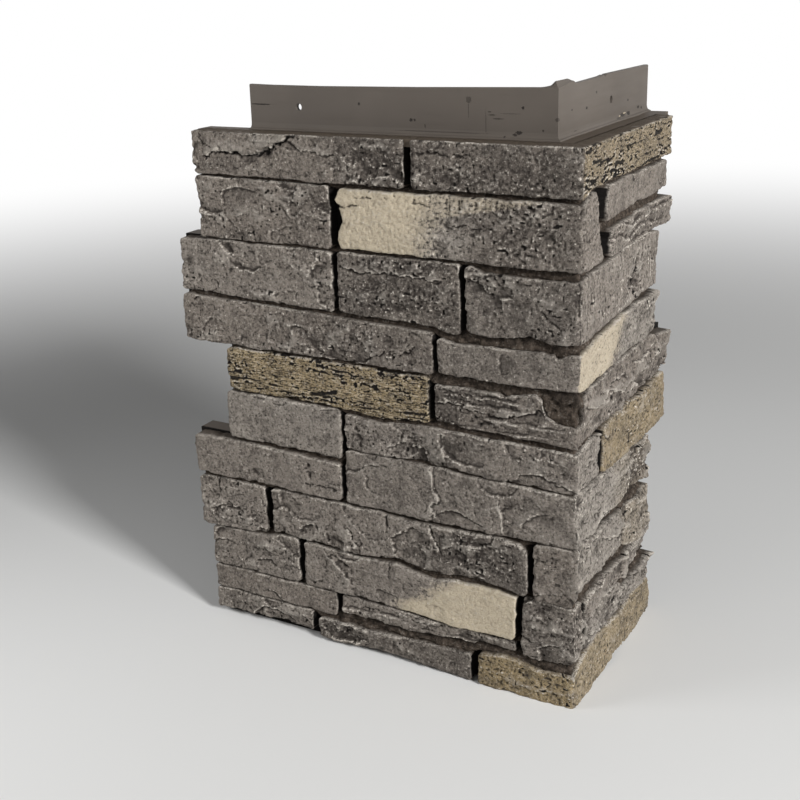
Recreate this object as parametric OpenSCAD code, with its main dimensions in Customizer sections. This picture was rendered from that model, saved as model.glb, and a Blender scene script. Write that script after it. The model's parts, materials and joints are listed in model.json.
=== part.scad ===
// Outside corner panel of moulded stone cladding.
// One moulding: two wings that wrap an outside corner of a wall, eleven courses of split stones
// on their faces, a smooth ledge on top and a nailing flange that stands up at the back.
// The origin is on the wall's corner at the foot of the panel, +Z up. The front wing lies
// against the plane Y = 0 and runs to -X, the return wing lies against X = 0 and runs to +Y.

/* [Panel] */
// Height of the stone face, from the foot to the ledge
face_h = 394; // [300:1:480]
// Length of the longest front course, from the outer corner
front_w = 320; // [260:1:400]
// Length of the longest return course, from the outer corner
return_w = 195; // [160:1:250]
// Thickness of the front wing, from the wall to the stone face
front_t = 25; // [22:0.5:40]
// Thickness of the return wing, from the wall to the stone face
return_t = 30; // [22:0.5:40]

/* [Stones] */
// Depth of the joints below the stone face
joint_depth = 10; // [6:0.5:13]
// Width of an upright joint between two stones
joint_w = 4; // [2:0.5:8]
// Width of a tight bed joint between two courses
bed_w = 2; // [1:0.5:4]
// Width of the broken edge round each stone
edge_w = 2.5; // [1:0.5:4]
// Height of the hollows and bumps on a split face
relief = 3; // [0:0.25:4]
// Spacing of the facets along a stone
facet_w = 14; // [12:1:30]
// Rows of facets up a stone
facet_rows = 4; // [2:1:6]

/* [Flange] */
// Height of the nailing flange above the ledge
flange_h = 32; // [20:1:50]
// Thickness of the nailing flange
flange_t = 4; // [3:0.5:6]
// Distance from the outer corner to the front flange's free end
flange_front = 260; // [200:1:300]
// Distance from the outer corner to the return flange's free end
flange_return = 194; // [150:1:240]
// Diameter of the nail holes
nail_d = 5; // [3:0.5:8]
// Distance from the front flange's free end to its nail hole
nail_front = 41; // [10:1:120]
// Distance from the return flange's free end to its nail hole
nail_return = 77; // [10:1:90]
// Size of the fillet at the flange's foot
foot_fillet = 3; // [1:0.5:6]

/* [Foot] */
// Clearance round the flange of the panel below, behind the foot
lap_gap = 1; // [0.5:0.5:3]

/* [Hidden] */

// How far a stone is rooted in the backing, and how far its sides lean out towards the root
root = 2;
draft = 0.8;
// The ledge's slab starts this far behind the stone face and is this thick
ledge_back = 2.5;
ledge_t = 5;
// The top course stops this far below the ledge
top_step = 0.8;
// How far the backing reaches past the stones at a free end
end_draft = 2;
// Length of the slanting end of the ledge over the return wing
ledge_slant = 20;
// How far along a stone a bend of its end reaches
end_reach = 24;
// Depths of the foot and the top of a recessed strip, as shares of the joint depth
strip_foot = 0.4;
strip_top = 0.65;
// How far a strip reaches behind the stones beside it
strip_lap = 2;
// How far inside the end of the courses a strip starts and stops
strip_in = 4;

// Bed joints from the foot up, as [place along the face, height]. Places are measured
// from the outer corner: below 0 on the front wing, above 0 on the return wing.
beds = [
    [[-312, 6], [-245, 9], [-196, 3], [-160, 6], [-110, 3], [-84, 1], [-30, 0], [50, 0], [75, 4], [110, 0]],
    [[-312, 25], [-190, 25], [-130, 26], [-85, 27], [-55, 31], [-30, 28], [0, 30], [15, 36], [60, 38],
        [90, 34], [165, 36]],
    [[-312, 46], [-262, 46], [-190, 47], [-150, 46], [-75, 42], [-40, 44], [0, 52], [20, 61], [90, 61],
        [100, 56], [165, 57]],
    [[-312, 80], [-270, 82], [-240, 86], [-210, 86], [-175, 83], [-140, 86], [-110, 82], [-70, 84],
        [-40, 81], [0, 80], [20, 79], [50, 84], [100, 79], [150, 81]],
    [[-320, 124], [-240, 125], [-150, 124], [-105, 123], [0, 125], [60, 124], [90, 121], [150, 119]],
    [[-320, 160], [-240, 159], [-185, 157], [-181, 168], [-120, 168], [-60, 165], [40, 163], [150, 159],
        [182, 160]],
    [[-285, 200], [-186, 199], [-150, 196], [-111, 199], [0, 196], [60, 200], [190, 201]],
    [[-320, 236], [-111, 235], [0, 235], [12, 234], [50, 237], [150, 238], [195, 233]],
    [[-320, 274], [-185, 270], [-107, 268], [-90, 264], [0, 266], [80, 271], [150, 273]],
    [[-320, 316], [-110, 316], [-60, 314], [20, 315], [110, 317], [175, 317]],
    [[-298, 363], [-120, 361], [0, 361], [15, 366], [170, 366]],
    [[-320, 394], [195, 394]],
    [[30, 339], [175, 341]]
];
foot_bed = 0;
top_bed = 11;
split_bed = 12;

// Stones as [bed below, bed above, from, to, gap below, gap above, how far it stands proud].
// A joint's middle is where one stone ends and the next starts; a gap widens a bed joint.
stones = [
    [0, 1, -312, -216, 0, 0, 0],
    [0, 1, -216, -77, 0, 4, 0.5],
    [0, 1, -77, 166, 0, 1, 1.5],
    [1, 2, -312, -193, 0, 0, 0],
    [1, 2, -193, -42, 3, 1, -1],
    [1, 2, 18, 91, 0, 0, 1],
    [1, 2, 91, 165, 0, 5, 2.5],
    [2, 3, -311, -225, 0, 0, 0.5],
    [2, 3, -225, -42, 0, 1, 1],
    [1, 3, -42, 18, 3, 0, 0],
    [2, 3, 18, 100, 0, 1, 1],
    [2, 3, 100, 158, 7, 0, 0.5],
    [3, 4, -320, -254, 0, 1, 0],
    [3, 4, -254, -33, 1, 1, 1],
    [3, 4, -33, 150, 5, 0, 1.5],
    [4, 5, -320, -183.5, 1, 1, 1.5],
    [4, 5, -183.5, 147, 0, 0, 0.5],
    [5, 6, -285, -182.5, 1, 0, 0.5],
    [5, 6, -182.5, 45, 0, 2, -0.5],
    [5, 6, 45, 182, 0, 0, 1],
    [6, 7, -283, -108.5, 0, 1, 0],
    [6, 7, -108.5, 195, 1, 3, -0.5],
    [7, 8, -320, -104.5, 0, 1, 1],
    [7, 8, -104.5, 152, 1, 3, 0.5],
    [8, 9, -318, -183, 1, 0, 0.5],
    [8, 9, -183, -83.5, 1, 0, -0.5],
    [8, 9, -83.5, 149, 2, 2, 0.5],
    [9, 10, -298, -182, 0, 0, 0.5],
    [9, 10, -182, 30, 1, 1, 1.5],
    [9, 12, 47, 175, 0, 3, 0.5],
    [12, 10, 39, 167, 2, 1, 0],
    [10, 11, -298, -122.5, 0, 0, 1],
    [10, 11, -122.5, 173, 0, 0, 0.5]
];

// Sides of a stone that can be bent
lower = 0;
upper = 1;
left = 2;
right = 3;

// Bent sides of stones as [stone, side, shifts]. A shift is [place along the face, millimetres up]
// on a lower or upper side and [height, millimetres along the face] on a left or right side.
bends = [
    [2, upper, [[-40, 0], [-28, -2], [0, -3], [15, 0], [84, 0], [94, -3], [120, 0]]],
    [2, right, [[0, 0], [10, -4], [25, -8], [34, -14]]],
    [6, right, [[36, -15], [46, -14], [50, 0]]],
    [8, upper, [[-140, 0], [-110, -3], [-95, -1], [-42, 0]]],
    [11, right, [[65, -10], [70, -6], [77, 0]]],
    [13, upper, [[-50, 0], [-42, -2], [-33, -12]]],
    [14, lower, [[-33, -6], [-6, -6], [0, 0], [6, 7], [20, 7], [50, 4], [90, 5], [105, -2], [120, -5]]],
    [14, upper, [[50, 0], [60, -1], [95, -4], [130, -5], [150, -1]]],
    [16, lower, [[0, 0], [60, 0], [85, 3], [100, 7], [130, 6], [147, 2]]],
    [19, right, [[160, 3], [180, -3], [198, -4]]],
    [21, upper, [[-58, -2], [-53, -4], [-32, 0], [-25, -12], [-15, -18], [0, -19], [9, -18], [16, 2],
        [50, 3], [150, 3]]],
    [21, right, [[202, -8], [215, -7], [231, 0]]],
    [23, upper, [[-22, -2], [-15, -4], [-8, 0], [0, 0], [10, 0], [60, 3], [150, 2]]],
    [26, lower, [[-83, 3], [-50, 1], [-35, 3], [-20, -1], [0, 1], [60, 0]]],
    [26, upper, [[-78, 3], [-68, -1], [-20, -2], [8, 0], [110, 3]]],
    [28, left, [[325, 0], [338, 6], [352, 0], [358, 3]]],
    [28, right, [[320, 5], [330, 1], [340, -4], [357, -5], [366, -8]]],
    [29, left, [[318, 0], [328, 4], [333, 0], [338, -7]]],
    [30, left, [[343, -1], [353, 3], [363, 6]]]
];

// Ends of each course, from the foot up: [bed below, bed above, front end, return end].
// The top course of the return is carried out to the flange's end.
courses = [
    [0, 2, -312, 165],
    [2, 3, -311, 158],
    [3, 4, -320, 150],
    [4, 5, -320, 147],
    [5, 6, -285, 182],
    [6, 7, -283, 192],
    [7, 8, -320, 152],
    [8, 9, -318, 149],
    [9, 10, -298, 172],
    [10, 11, -298, 193]
];

// The pattern of courses as it was laid out, which is stretched to the sizes above
pattern_h = beds[top_bed][0][1];
pattern_front = -min([for (c = courses) c[2]]);
pattern_return = max([for (s = stones) s[3]]);
// Stones that start or stop this far out on the pattern are the free ends of their courses
free_front = -283;
free_return = 147;

floor_x = return_t - joint_depth;
floor_y = -front_t + joint_depth;
lap_h = flange_h + lap_gap;
lap_t = flange_t + lap_gap;
nail_z = face_h + flange_h / 2;

// Stretches a place along the face and a height from the pattern to this panel
function along(s) = s < 0 ? s * front_w / pattern_front : s * return_w / pattern_return;
function rise(z) = z * face_h / pattern_h;

// Height of a bed joint's middle at a place along the face
function bed_z(bed, s) = rise(lookup(s, beds[bed]));

// Repeatable value from 0 to 1 for a facet's corner
function chip(a, b, c) = let (v = sin(a * 127.1 + b * 311.7 + c * 74.7) * 437.58) v - floor(v);

// Point at place s on the face, a depth d behind it: the front wing, the outer corner or the return
function on_face(s, d, z) =
    s < 0 ? [return_t + min(s, -max(d, 0) - 1), -front_t + d, z] :
    s > 0 ? [return_t - d, -front_t + max(s, max(d, 0) + 1), z] :
    [return_t - d, -front_t + d, z];

// Shift of one side of a stone, 0 where the side is straight
function shift(n, side, at) =
    let (found = [for (bend = bends) if (bend[0] == n && bend[1] == side) bend[2]])
    len(found) == 0 ? 0 : lookup(at, found[0]);

// Lower and upper edge of a stone at a place on the pattern
function foot_z(n, at) = bed_z(stones[n][0], at) + (stones[n][0] == foot_bed ? 0 : bed_w / 2)
    + stones[n][4] + rise(shift(n, lower, at));
function top_z(n, at) = stones[n][1] == top_bed ? face_h - top_step
    : bed_z(stones[n][1], at) - bed_w / 2 - stones[n][5] + rise(shift(n, upper, at));

// Place on the pattern for a place on this panel
function pattern_place(s) = s < 0 ? s * pattern_front / front_w : s * pattern_return / return_w;

// Places between a and b, no further apart than the pitch, without b itself
function steps(a, b, pitch) =
    let (n = max(1, ceil((b - a) / pitch)))
    [for (i = [0:n - 1]) a + (b - a) * i / n];

// Places where a stone is bent along its upper or lower side, or only the outer corner
function bend_places(n, a, b) =
    let (found = [for (bend = bends) if (bend[0] == n && bend[1] <= upper) bend[2]])
    len(found) > 0 ? [for (p = found[0]) along(p[0])] : a < 0 && b > 0 ? [0] : [];

// Places where a stone is cut into sections: its ends, its broken edges, its bends and the outer corner
function cuts(n, a, b) =
    let (
        inner = [for (p = bend_places(n, a, b)) if (p > a + 2 * edge_w && p < b - 2 * edge_w) p],
        stops = concat([a + edge_w], inner, [b - edge_w])
    )
    concat([a], [for (i = [0:len(stops) - 2]) each steps(stops[i], stops[i + 1], facet_w)], [b - edge_w, b]);

// Section of a stone as [depth, height] from its root at the bed below, over the face,
// to its root at the bed above
function section(n, s, column) =
    let (
        at = pattern_place(s),
        proud = stones[n][6],
        on_top = stones[n][1] == top_bed,
        ragged = relief / 4,
        low = foot_z(n, at) + ragged * chip(column, 11, n),
        high = top_z(n, at) - (on_top ? 0 : ragged * chip(column, 12, n)),
        edge = edge_w + chip(column, 13, n),
        rim = min(edge_w, (high - low) / 4),
        deep = joint_depth + root
    )
    concat(
        [[deep, max(low - draft, 0)], [edge - proud, low]],
        [for (k = [0:facet_rows])
            [relief * (chip(column, k, n) - 0.5) - proud, low + rim + (high - low - 2 * rim) * k / facet_rows]],
        [[edge - proud, high], [deep, on_top ? high : high + draft]]
    );

// Section at a stone's end, drawn in to its broken edge
function end_section(n, s, column) =
    let (full = section(n, s, column), low = full[1][1], high = full[len(full) - 2][1])
    [for (p = full)
        p[0] > joint_depth ? p : [max(p[0], edge_w - stones[n][6]), min(max(p[1], low + 1), high - 1)]];

// Closed body whose sections of the same length follow one another along the face
module swept(rings, seed) {
    last = len(rings) - 1;
    ring = len(rings[0]);
    sides = [
        for (i = [0:last - 1])
            for (k = [0:ring - 1])
                let (
                    a = i * ring + k,
                    b = i * ring + (k + 1) % ring,
                    c = b + ring,
                    d = a + ring
                )
                each chip(i, k, seed + 1) < 0.5 ? [[a, b, c], [a, c, d]] : [[a, b, d], [b, c, d]]
    ];
    caps = [
        for (k = [1:ring - 2])
            each [[0, k + 1, k], [last * ring, last * ring + k, last * ring + k + 1]]
    ];
    polyhedron(points = [for (r = rings) each r], faces = concat(sides, caps), convexity = 6);
}

// One split stone: its sections are joined along the face and round the outer corner
module stone(n) {
    start = along(stones[n][2]) + (stones[n][2] <= free_front ? 0 : joint_w / 2);
    stop = along(stones[n][3]) - (stones[n][3] >= free_return ? 0 : joint_w / 2);
    places = cuts(n, start, stop);
    last = len(places) - 1;
    swept([
        for (i = [0:last])
            let (
                s = places[i],
                by_left = max(0, 1 - (s - start) / end_reach),
                by_right = max(0, 1 - (stop - s) / end_reach)
            )
            [for (p = i == 0 || i == last ? end_section(n, s, i) : section(n, s, i))
                let (z = p[1] * pattern_h / face_h)
                on_face(s + by_left * shift(n, left, z) + by_right * shift(n, right, z), p[0], p[1])]
    ], n);
}

module stone_face() {
    color([0.42, 0.40, 0.37])
        for (n = [0:len(stones) - 1])
            stone(n);
}

// Stones that have the bed joint on one side and reach past a place on the pattern
function beside(bed, side, at) =
    [for (n = [0:len(stones) - 1])
        if (stones[n][side == upper ? 1 : 0] == bed && stones[n][2] - 3 < at && at < stones[n][3] + 3) n];

// Recessed strip that fills a bed joint between two places on the pattern
module strip(bed, start, stop) {
    places = concat(
        start < 0 ? concat(steps(start, 0, 2 * facet_w), steps(0, stop, 2 * facet_w))
            : steps(start, stop, 2 * facet_w),
        [stop]
    );
    swept([
        for (at = places)
            let (
                around = [at - facet_w, at, at + facet_w],
                low = min([bed_z(bed, at), for (n = beside(bed, upper, at)) for (w = around) top_z(n, w)]) - strip_lap,
                high = max([bed_z(bed, at), for (n = beside(bed, lower, at)) for (w = around) foot_z(n, w)]) + strip_lap,
                deep = joint_depth + root,
                s = along(at)
            )
            [on_face(s, deep, low), on_face(s, joint_depth * strip_foot, low),
                on_face(s, joint_depth * strip_top, high), on_face(s, deep, high)]
    ], bed);
}

// All the recessed strips. Each one stops inside the shorter course beside it.
module strips() {
    color([0.25, 0.22, 0.19]) {
        for (bed = [2:top_bed - 1]) {
            near = [for (c = courses) if (c[0] == bed || c[1] == bed) c];
            strip(bed, max([for (c = near) c[2]]) + strip_in, min([for (c = near) c[3]]) - strip_in);
        }
        strip(1, courses[0][2] + strip_in, courses[0][3] - strip_in);
        strip(split_bed, stones[29][2] + strip_in, stones[30][3] - strip_in);
    }
}

// Outline of one wing's backing, stepped where the courses end: which = 2 front, 3 return
function stepped(which, inner) = concat(
    [[inner, 0]],
    [for (c = courses)
        let (
            end = along(c[which]) + (which == 2 ? -end_draft : end_draft),
            low = c[0] == foot_bed ? 0 : bed_z(c[0], c[which]),
            high = bed_z(c[1], c[which])
        )
        each [[end, low], [end, high]]],
    [[inner, face_h]]
);

// Backing of both wings: two upright plates that meet in the wall's corner
module backing() {
    color([0.30, 0.27, 0.24]) {
        translate([return_t, 0, 0])
            rotate([90, 0, 0])
                linear_extrude(height = -floor_y)
                    polygon(stepped(2, -joint_depth));
        translate([0, -front_t, 0])
            rotate([90, 0, 90])
                linear_extrude(height = floor_x)
                    polygon(stepped(3, joint_depth));
    }
}

// Smooth slab on top of the courses, cut off at a slant over the return wing's end
module ledge() {
    left = return_t + along(courses[9][2]);
    far = -front_t + along(courses[9][3]);
    color([0.36, 0.32, 0.28])
        translate([0, 0, face_h - ledge_t])
            linear_extrude(height = ledge_t)
                polygon([
                    [left, 0], [left, ledge_back - front_t],
                    [return_t - ledge_back, ledge_back - front_t],
                    [return_t - ledge_back, far - ledge_slant],
                    [floor_x - flange_t, far], [0, far], [0, 0]
                ]);
}

// Upright strips of the flange along both wings
module flange() {
    tall = flange_h + ledge_t;
    color([0.40, 0.37, 0.34])
        translate([0, 0, face_h - ledge_t]) {
            translate([return_t - flange_front, -flange_t, 0])
                cube([flange_front - return_t + flange_t, flange_t, tall]);
            translate([0, -flange_t, 0])
                cube([flange_t, flange_return - front_t + flange_t, tall]);
        }
}

// Fillet in the angle between ledge and flange, along both wings
module flange_foot() {
    color([0.40, 0.37, 0.34]) {
        translate([return_t - flange_front, -flange_t, face_h])
            rotate([90, 0, 90])
                linear_extrude(height = flange_front - return_t + flange_t)
                    polygon([[0, 0], [-foot_fillet, 0], [0, foot_fillet]]);
        translate([flange_t, flange_return - front_t, face_h])
            rotate([90, 0, 0])
                linear_extrude(height = flange_return - front_t + flange_t)
                    polygon([[0, 0], [foot_fillet, 0], [0, foot_fillet]]);
    }
}

// Nail holes through the flange, one in each wing
module nail_holes() {
    translate([return_t - flange_front + nail_front, 1, nail_z])
        rotate([90, 0, 0])
            cylinder(h = flange_t + 2, d = nail_d, $fn = 48);
    translate([-1, flange_return - nail_return - front_t, nail_z])
        rotate([0, 90, 0])
            cylinder(h = flange_t + 2, d = nail_d, $fn = 48);
}

// Recess behind the foot, which laps over the flange of the panel below
module lap_recess() {
    translate([-front_w, -lap_t, -1])
        cube([front_w + lap_t, return_w + lap_t, lap_h + 1]);
}

module corner_panel() {
    difference() {
        union() {
            backing();
            ledge();
            flange();
            flange_foot();
        }
        nail_holes();
        lap_recess();
    }
    stone_face();
    strips();
}

corner_panel();
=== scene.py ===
"""Outside corner panel of moulded stone cladding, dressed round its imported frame.

The panel is one moulding. It is drawn here as its backing with the ledge, its nailing flange, the recessed
strips in its bed joints and its eleven courses of split stones. Every surface is worked out with numpy in
millimetres, from the same courses as the solid model, and turned into metres when the mesh is made.
Places along the face are measured from the outer corner: below 0 on the front wing, above 0 on the return.
"""

import json
import math

import bpy
import numpy as np
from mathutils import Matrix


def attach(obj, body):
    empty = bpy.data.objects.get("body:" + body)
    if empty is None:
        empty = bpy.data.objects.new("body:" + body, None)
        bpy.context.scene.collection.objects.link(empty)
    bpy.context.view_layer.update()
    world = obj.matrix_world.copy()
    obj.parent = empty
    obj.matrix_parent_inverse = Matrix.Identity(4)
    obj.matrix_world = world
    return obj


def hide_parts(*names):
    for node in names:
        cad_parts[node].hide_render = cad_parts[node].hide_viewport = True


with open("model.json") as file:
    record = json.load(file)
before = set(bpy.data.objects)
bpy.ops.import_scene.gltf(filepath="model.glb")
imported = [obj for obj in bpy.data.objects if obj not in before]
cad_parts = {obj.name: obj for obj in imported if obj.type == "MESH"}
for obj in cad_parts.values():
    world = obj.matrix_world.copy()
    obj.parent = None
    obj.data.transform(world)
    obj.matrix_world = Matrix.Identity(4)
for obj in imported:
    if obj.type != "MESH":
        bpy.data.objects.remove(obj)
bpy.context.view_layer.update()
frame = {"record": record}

bl_info = {
    "name": "Stone Cladding Corner Panel",
    "version": (1, 0, 0),
    "blender": (4, 5, 0),
    "location": "View3D > Sidebar > Corner Panel",
    "description": "Builds an outside corner panel of moulded stacked stone with its nailing flange",
    "category": "Add Mesh",
}

NODE = "corner_panel"
MM = 0.001
MOUNTS = {mount["name"]: mount for mount in frame["record"]["mounts"]}

# Bed joints from the foot up, as (place along the face, height)
BEDS = [
    [(-312, 6), (-245, 9), (-196, 3), (-160, 6), (-110, 3), (-84, 1), (-30, 0), (50, 0), (75, 4), (110, 0)],
    [(-312, 25), (-190, 25), (-130, 26), (-85, 27), (-55, 31), (-30, 28), (0, 30), (15, 36), (60, 38),
     (90, 34), (165, 36)],
    [(-312, 46), (-262, 46), (-190, 47), (-150, 46), (-75, 42), (-40, 44), (0, 52), (20, 61), (90, 61),
     (100, 56), (165, 57)],
    [(-312, 80), (-270, 82), (-240, 86), (-210, 86), (-175, 83), (-140, 86), (-110, 82), (-70, 84),
     (-40, 81), (0, 80), (20, 79), (50, 84), (100, 79), (150, 81)],
    [(-320, 124), (-240, 125), (-150, 124), (-105, 123), (0, 125), (60, 124), (90, 121), (150, 119)],
    [(-320, 160), (-240, 159), (-185, 157), (-181, 168), (-120, 168), (-60, 165), (40, 163), (150, 159),
     (182, 160)],
    [(-285, 200), (-186, 199), (-150, 196), (-111, 199), (0, 196), (60, 200), (190, 201)],
    [(-320, 236), (-111, 235), (0, 235), (12, 234), (50, 237), (150, 238), (195, 233)],
    [(-320, 274), (-185, 270), (-107, 268), (-90, 264), (0, 266), (80, 271), (150, 273)],
    [(-320, 316), (-110, 316), (-60, 314), (20, 315), (110, 317), (175, 317)],
    [(-298, 363), (-120, 361), (0, 361), (15, 366), (170, 366)],
    [(-320, 394), (195, 394)],
    [(30, 339), (175, 341)],
]
FOOT_BED, TOP_BED, SPLIT_BED = 0, 11, 12

# Stones as (bed below, bed above, from, to, gap below, gap above, how far it stands proud, kind of face),
# with a second kind where a stone turns the corner into another
STONES = [
    (0, 1, -312, -216, 0, 0, 0, "split"),
    (0, 1, -216, -77, 0, 4, 0.5, "split"),
    (0, 1, -77, 166, 0, 1, 1.5, "granular", "granular"),
    (1, 2, -312, -193, 0, 0, 0, "smooth"),
    (1, 2, -193, -42, 3, 1, -1, "layered"),
    (1, 2, 18, 91, 0, 0, 1, "split"),
    (1, 2, 91, 165, 0, 5, 2.5, "rocky"),
    (2, 3, -311, -225, 0, 0, 0.5, "split"),
    (2, 3, -225, -42, 0, 1, 1, "smooth"),
    (1, 3, -42, 18, 3, 0, 0, "split", "rugged"),
    (2, 3, 18, 100, 0, 1, 1, "rugged"),
    (2, 3, 100, 158, 7, 0, 0.5, "rocky"),
    (3, 4, -320, -254, 0, 1, 0, "split"),
    (3, 4, -254, -33, 1, 1, 1, "split"),
    (3, 4, -33, 150, 5, 0, 1.5, "split", "rocky"),
    (4, 5, -320, -183.5, 1, 1, 1.5, "smooth"),
    (4, 5, -183.5, 147, 0, 0, 0.5, "smooth", "rocky"),
    (5, 6, -285, -182.5, 1, 0, 0.5, "smooth"),
    (5, 6, -182.5, 45, 0, 2, -0.5, "split", "rocky"),
    (5, 6, 45, 182, 0, 0, 1, "granular"),
    (6, 7, -283, -108.5, 0, 1, 0, "pitted"),
    (6, 7, -108.5, 195, 1, 3, -0.5, "layered", "rugged"),
    (7, 8, -320, -104.5, 0, 1, 1, "split"),
    (7, 8, -104.5, 152, 1, 3, 0.5, "smooth", "split"),
    (8, 9, -318, -183, 1, 0, 0.5, "split"),
    (8, 9, -183, -83.5, 1, 0, -0.5, "granular"),
    (8, 9, -83.5, 149, 2, 2, 0.5, "split", "grained"),
    (9, 10, -298, -182, 0, 0, 0.5, "split"),
    (9, 10, -182, 30, 1, 1, 1.5, "granular"),
    (9, 12, 47, 175, 0, 3, 0.5, "layered"),
    (12, 10, 39, 167, 2, 1, 0, "smooth"),
    (10, 11, -298, -122.5, 0, 0, 1, "split"),
    (10, 11, -122.5, 173, 0, 0, 0.5, "granular", "pitted"),
]
FREE_FRONT, FREE_RETURN = -283, 147

# Free ends of the courses, as (bed below, bed above, front end, return end)
COURSES = [
    (0, 2, -312, 165), (2, 3, -311, 158), (3, 4, -320, 150), (4, 5, -320, 147), (5, 6, -285, 182),
    (6, 7, -283, 192), (7, 8, -320, 152), (8, 9, -318, 149), (9, 10, -298, 172), (10, 11, -298, 193),
]

# Kinds of split face: heights in millimetres of broad planes, chips, roughness, grit, pits, layers and flakes
FACES = {
    "split": (3.6, 1.8, 0.7, 0.36, 0.30, 0.0, 2.1),
    "smooth": (3.4, 0.9, 0.3, 0.20, 0.15, 0.0, 1.5),
    "granular": (2.4, 1.4, 0.8, 0.55, 0.40, 0.0, 0.9),
    "pitted": (0.8, 0.2, 0.3, 0.22, 0.00, 1.3, 0.0),
    "layered": (2.6, 2.0, 0.7, 0.40, 0.25, 1.6, 1.4),
    "rugged": (5.0, 1.8, 0.6, 0.40, 0.30, 0.0, 3.0),
    "grained": (2.6, 1.0, 0.4, 0.25, 0.35, 0.8, 0.8),
    "rocky": (4.4, 2.9, 1.1, 0.55, 0.40, 0.0, 2.8),
}

# Coloured stretches, as (stone, colour, strength, from, to, fade in, fade out, lean of both ends in mm to the mm)
PAINT = [
    (28, "cream", 1.0, -195, -104, 4, 60, 0, 0.3), (28, "cream", 0.62, -195, -125, 4, 24, 0, 5.0),
    (28, "light", 0.35, -125, -80, 20, 24, 0, 0), (8, "cream", 1.0, -122, -30, 36, 4, 1.5, 0),
    (23, "cream", 0.78, 0, 76, 3, 40, 0, 0.9), (20, "tan", 1.0, -295, -100, 4, 4, 0, 0),
    (32, "tan", 0.65, 0, 180, 3, 4, 0, 0), (2, "tan", 1.0, -90, 0, 4, 6, 0, 0), (2, "tan", 0.75, 0, 180, 6, 4, 0, 0), (2, "light", 0.6, 0, 180, 4, 4, 0, 0),
    (19, "tan", 0.75, 30, 200, 4, 4, 0, 0),
    (14, "tan", 0.25, 90, 160, 20, 4, 0, 0), (16, "tan", 0.2, 80, 150, 30, 4, 0, 0),
    (32, "dark", 0.5, -130, 0, 4, 6, 0, 0), (25, "dark", 0.5, -190, -80, 10, 10, 0, 0),
    (26, "dark", 0.45, -90, 0, 4, 6, 0, 0), (31, "dark", 0.45, -180, -110, 30, 4, -0.6, 0),
    (28, "dark", 0.25, -90, 0, 30, 6, 0, 0), (1, "dark", 0.5, -220, -70, 4, 4, 0, 0),
    (13, "dark", 0.5, -115, -30, 40, 4, 1.0, 0), (18, "dark", 0.3, -130, -70, 30, 30, 0, 0),
    (22, "dark", 0.2, -230, -100, 40, 4, 0, 0), (21, "dark", 0.4, -110, 0, 4, 10, 0, 0),
    (9, "dark", 0.35, -40, 0, 10, 6, 0, 0), (23, "dark", 0.3, -140, 0, 4, 6, 0, 0), (16, "dark", 0.15, -240, 0, 4, 6, 0, 0),
    (0, "dark", 0.15, -300, -160, 4, 4, 0, 0), (7, "light", 0.1, -280, -200, 4, 4, 0, 0),
    (6, "light", 0.25, 90, 200, 4, 4, 0, 0), (5, "light", 0.2, 0, 100, 4, 4, 0, 0), (22, "dark", 0.1, -100, 0, 4, 4, 0, 0),
    (23, "light", 0.45, 76, 160, 20, 4, 0, 0), (18, "light", 0.3, 0, 50, 6, 4, 0, 0),
    (16, "light", 0.45, 0, 110, 6, 20, 0, 0), (16, "dark", 0.5, 105, 150, 20, 4, 0, 0), (14, "light", 0.45, 0, 160, 6, 4, 0, 0),
    (11, "light", 0.3, 90, 160, 10, 4, 0, 0), (17, "light", 0.2, -290, -180, 4, 4, 0, 0),
]

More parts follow.
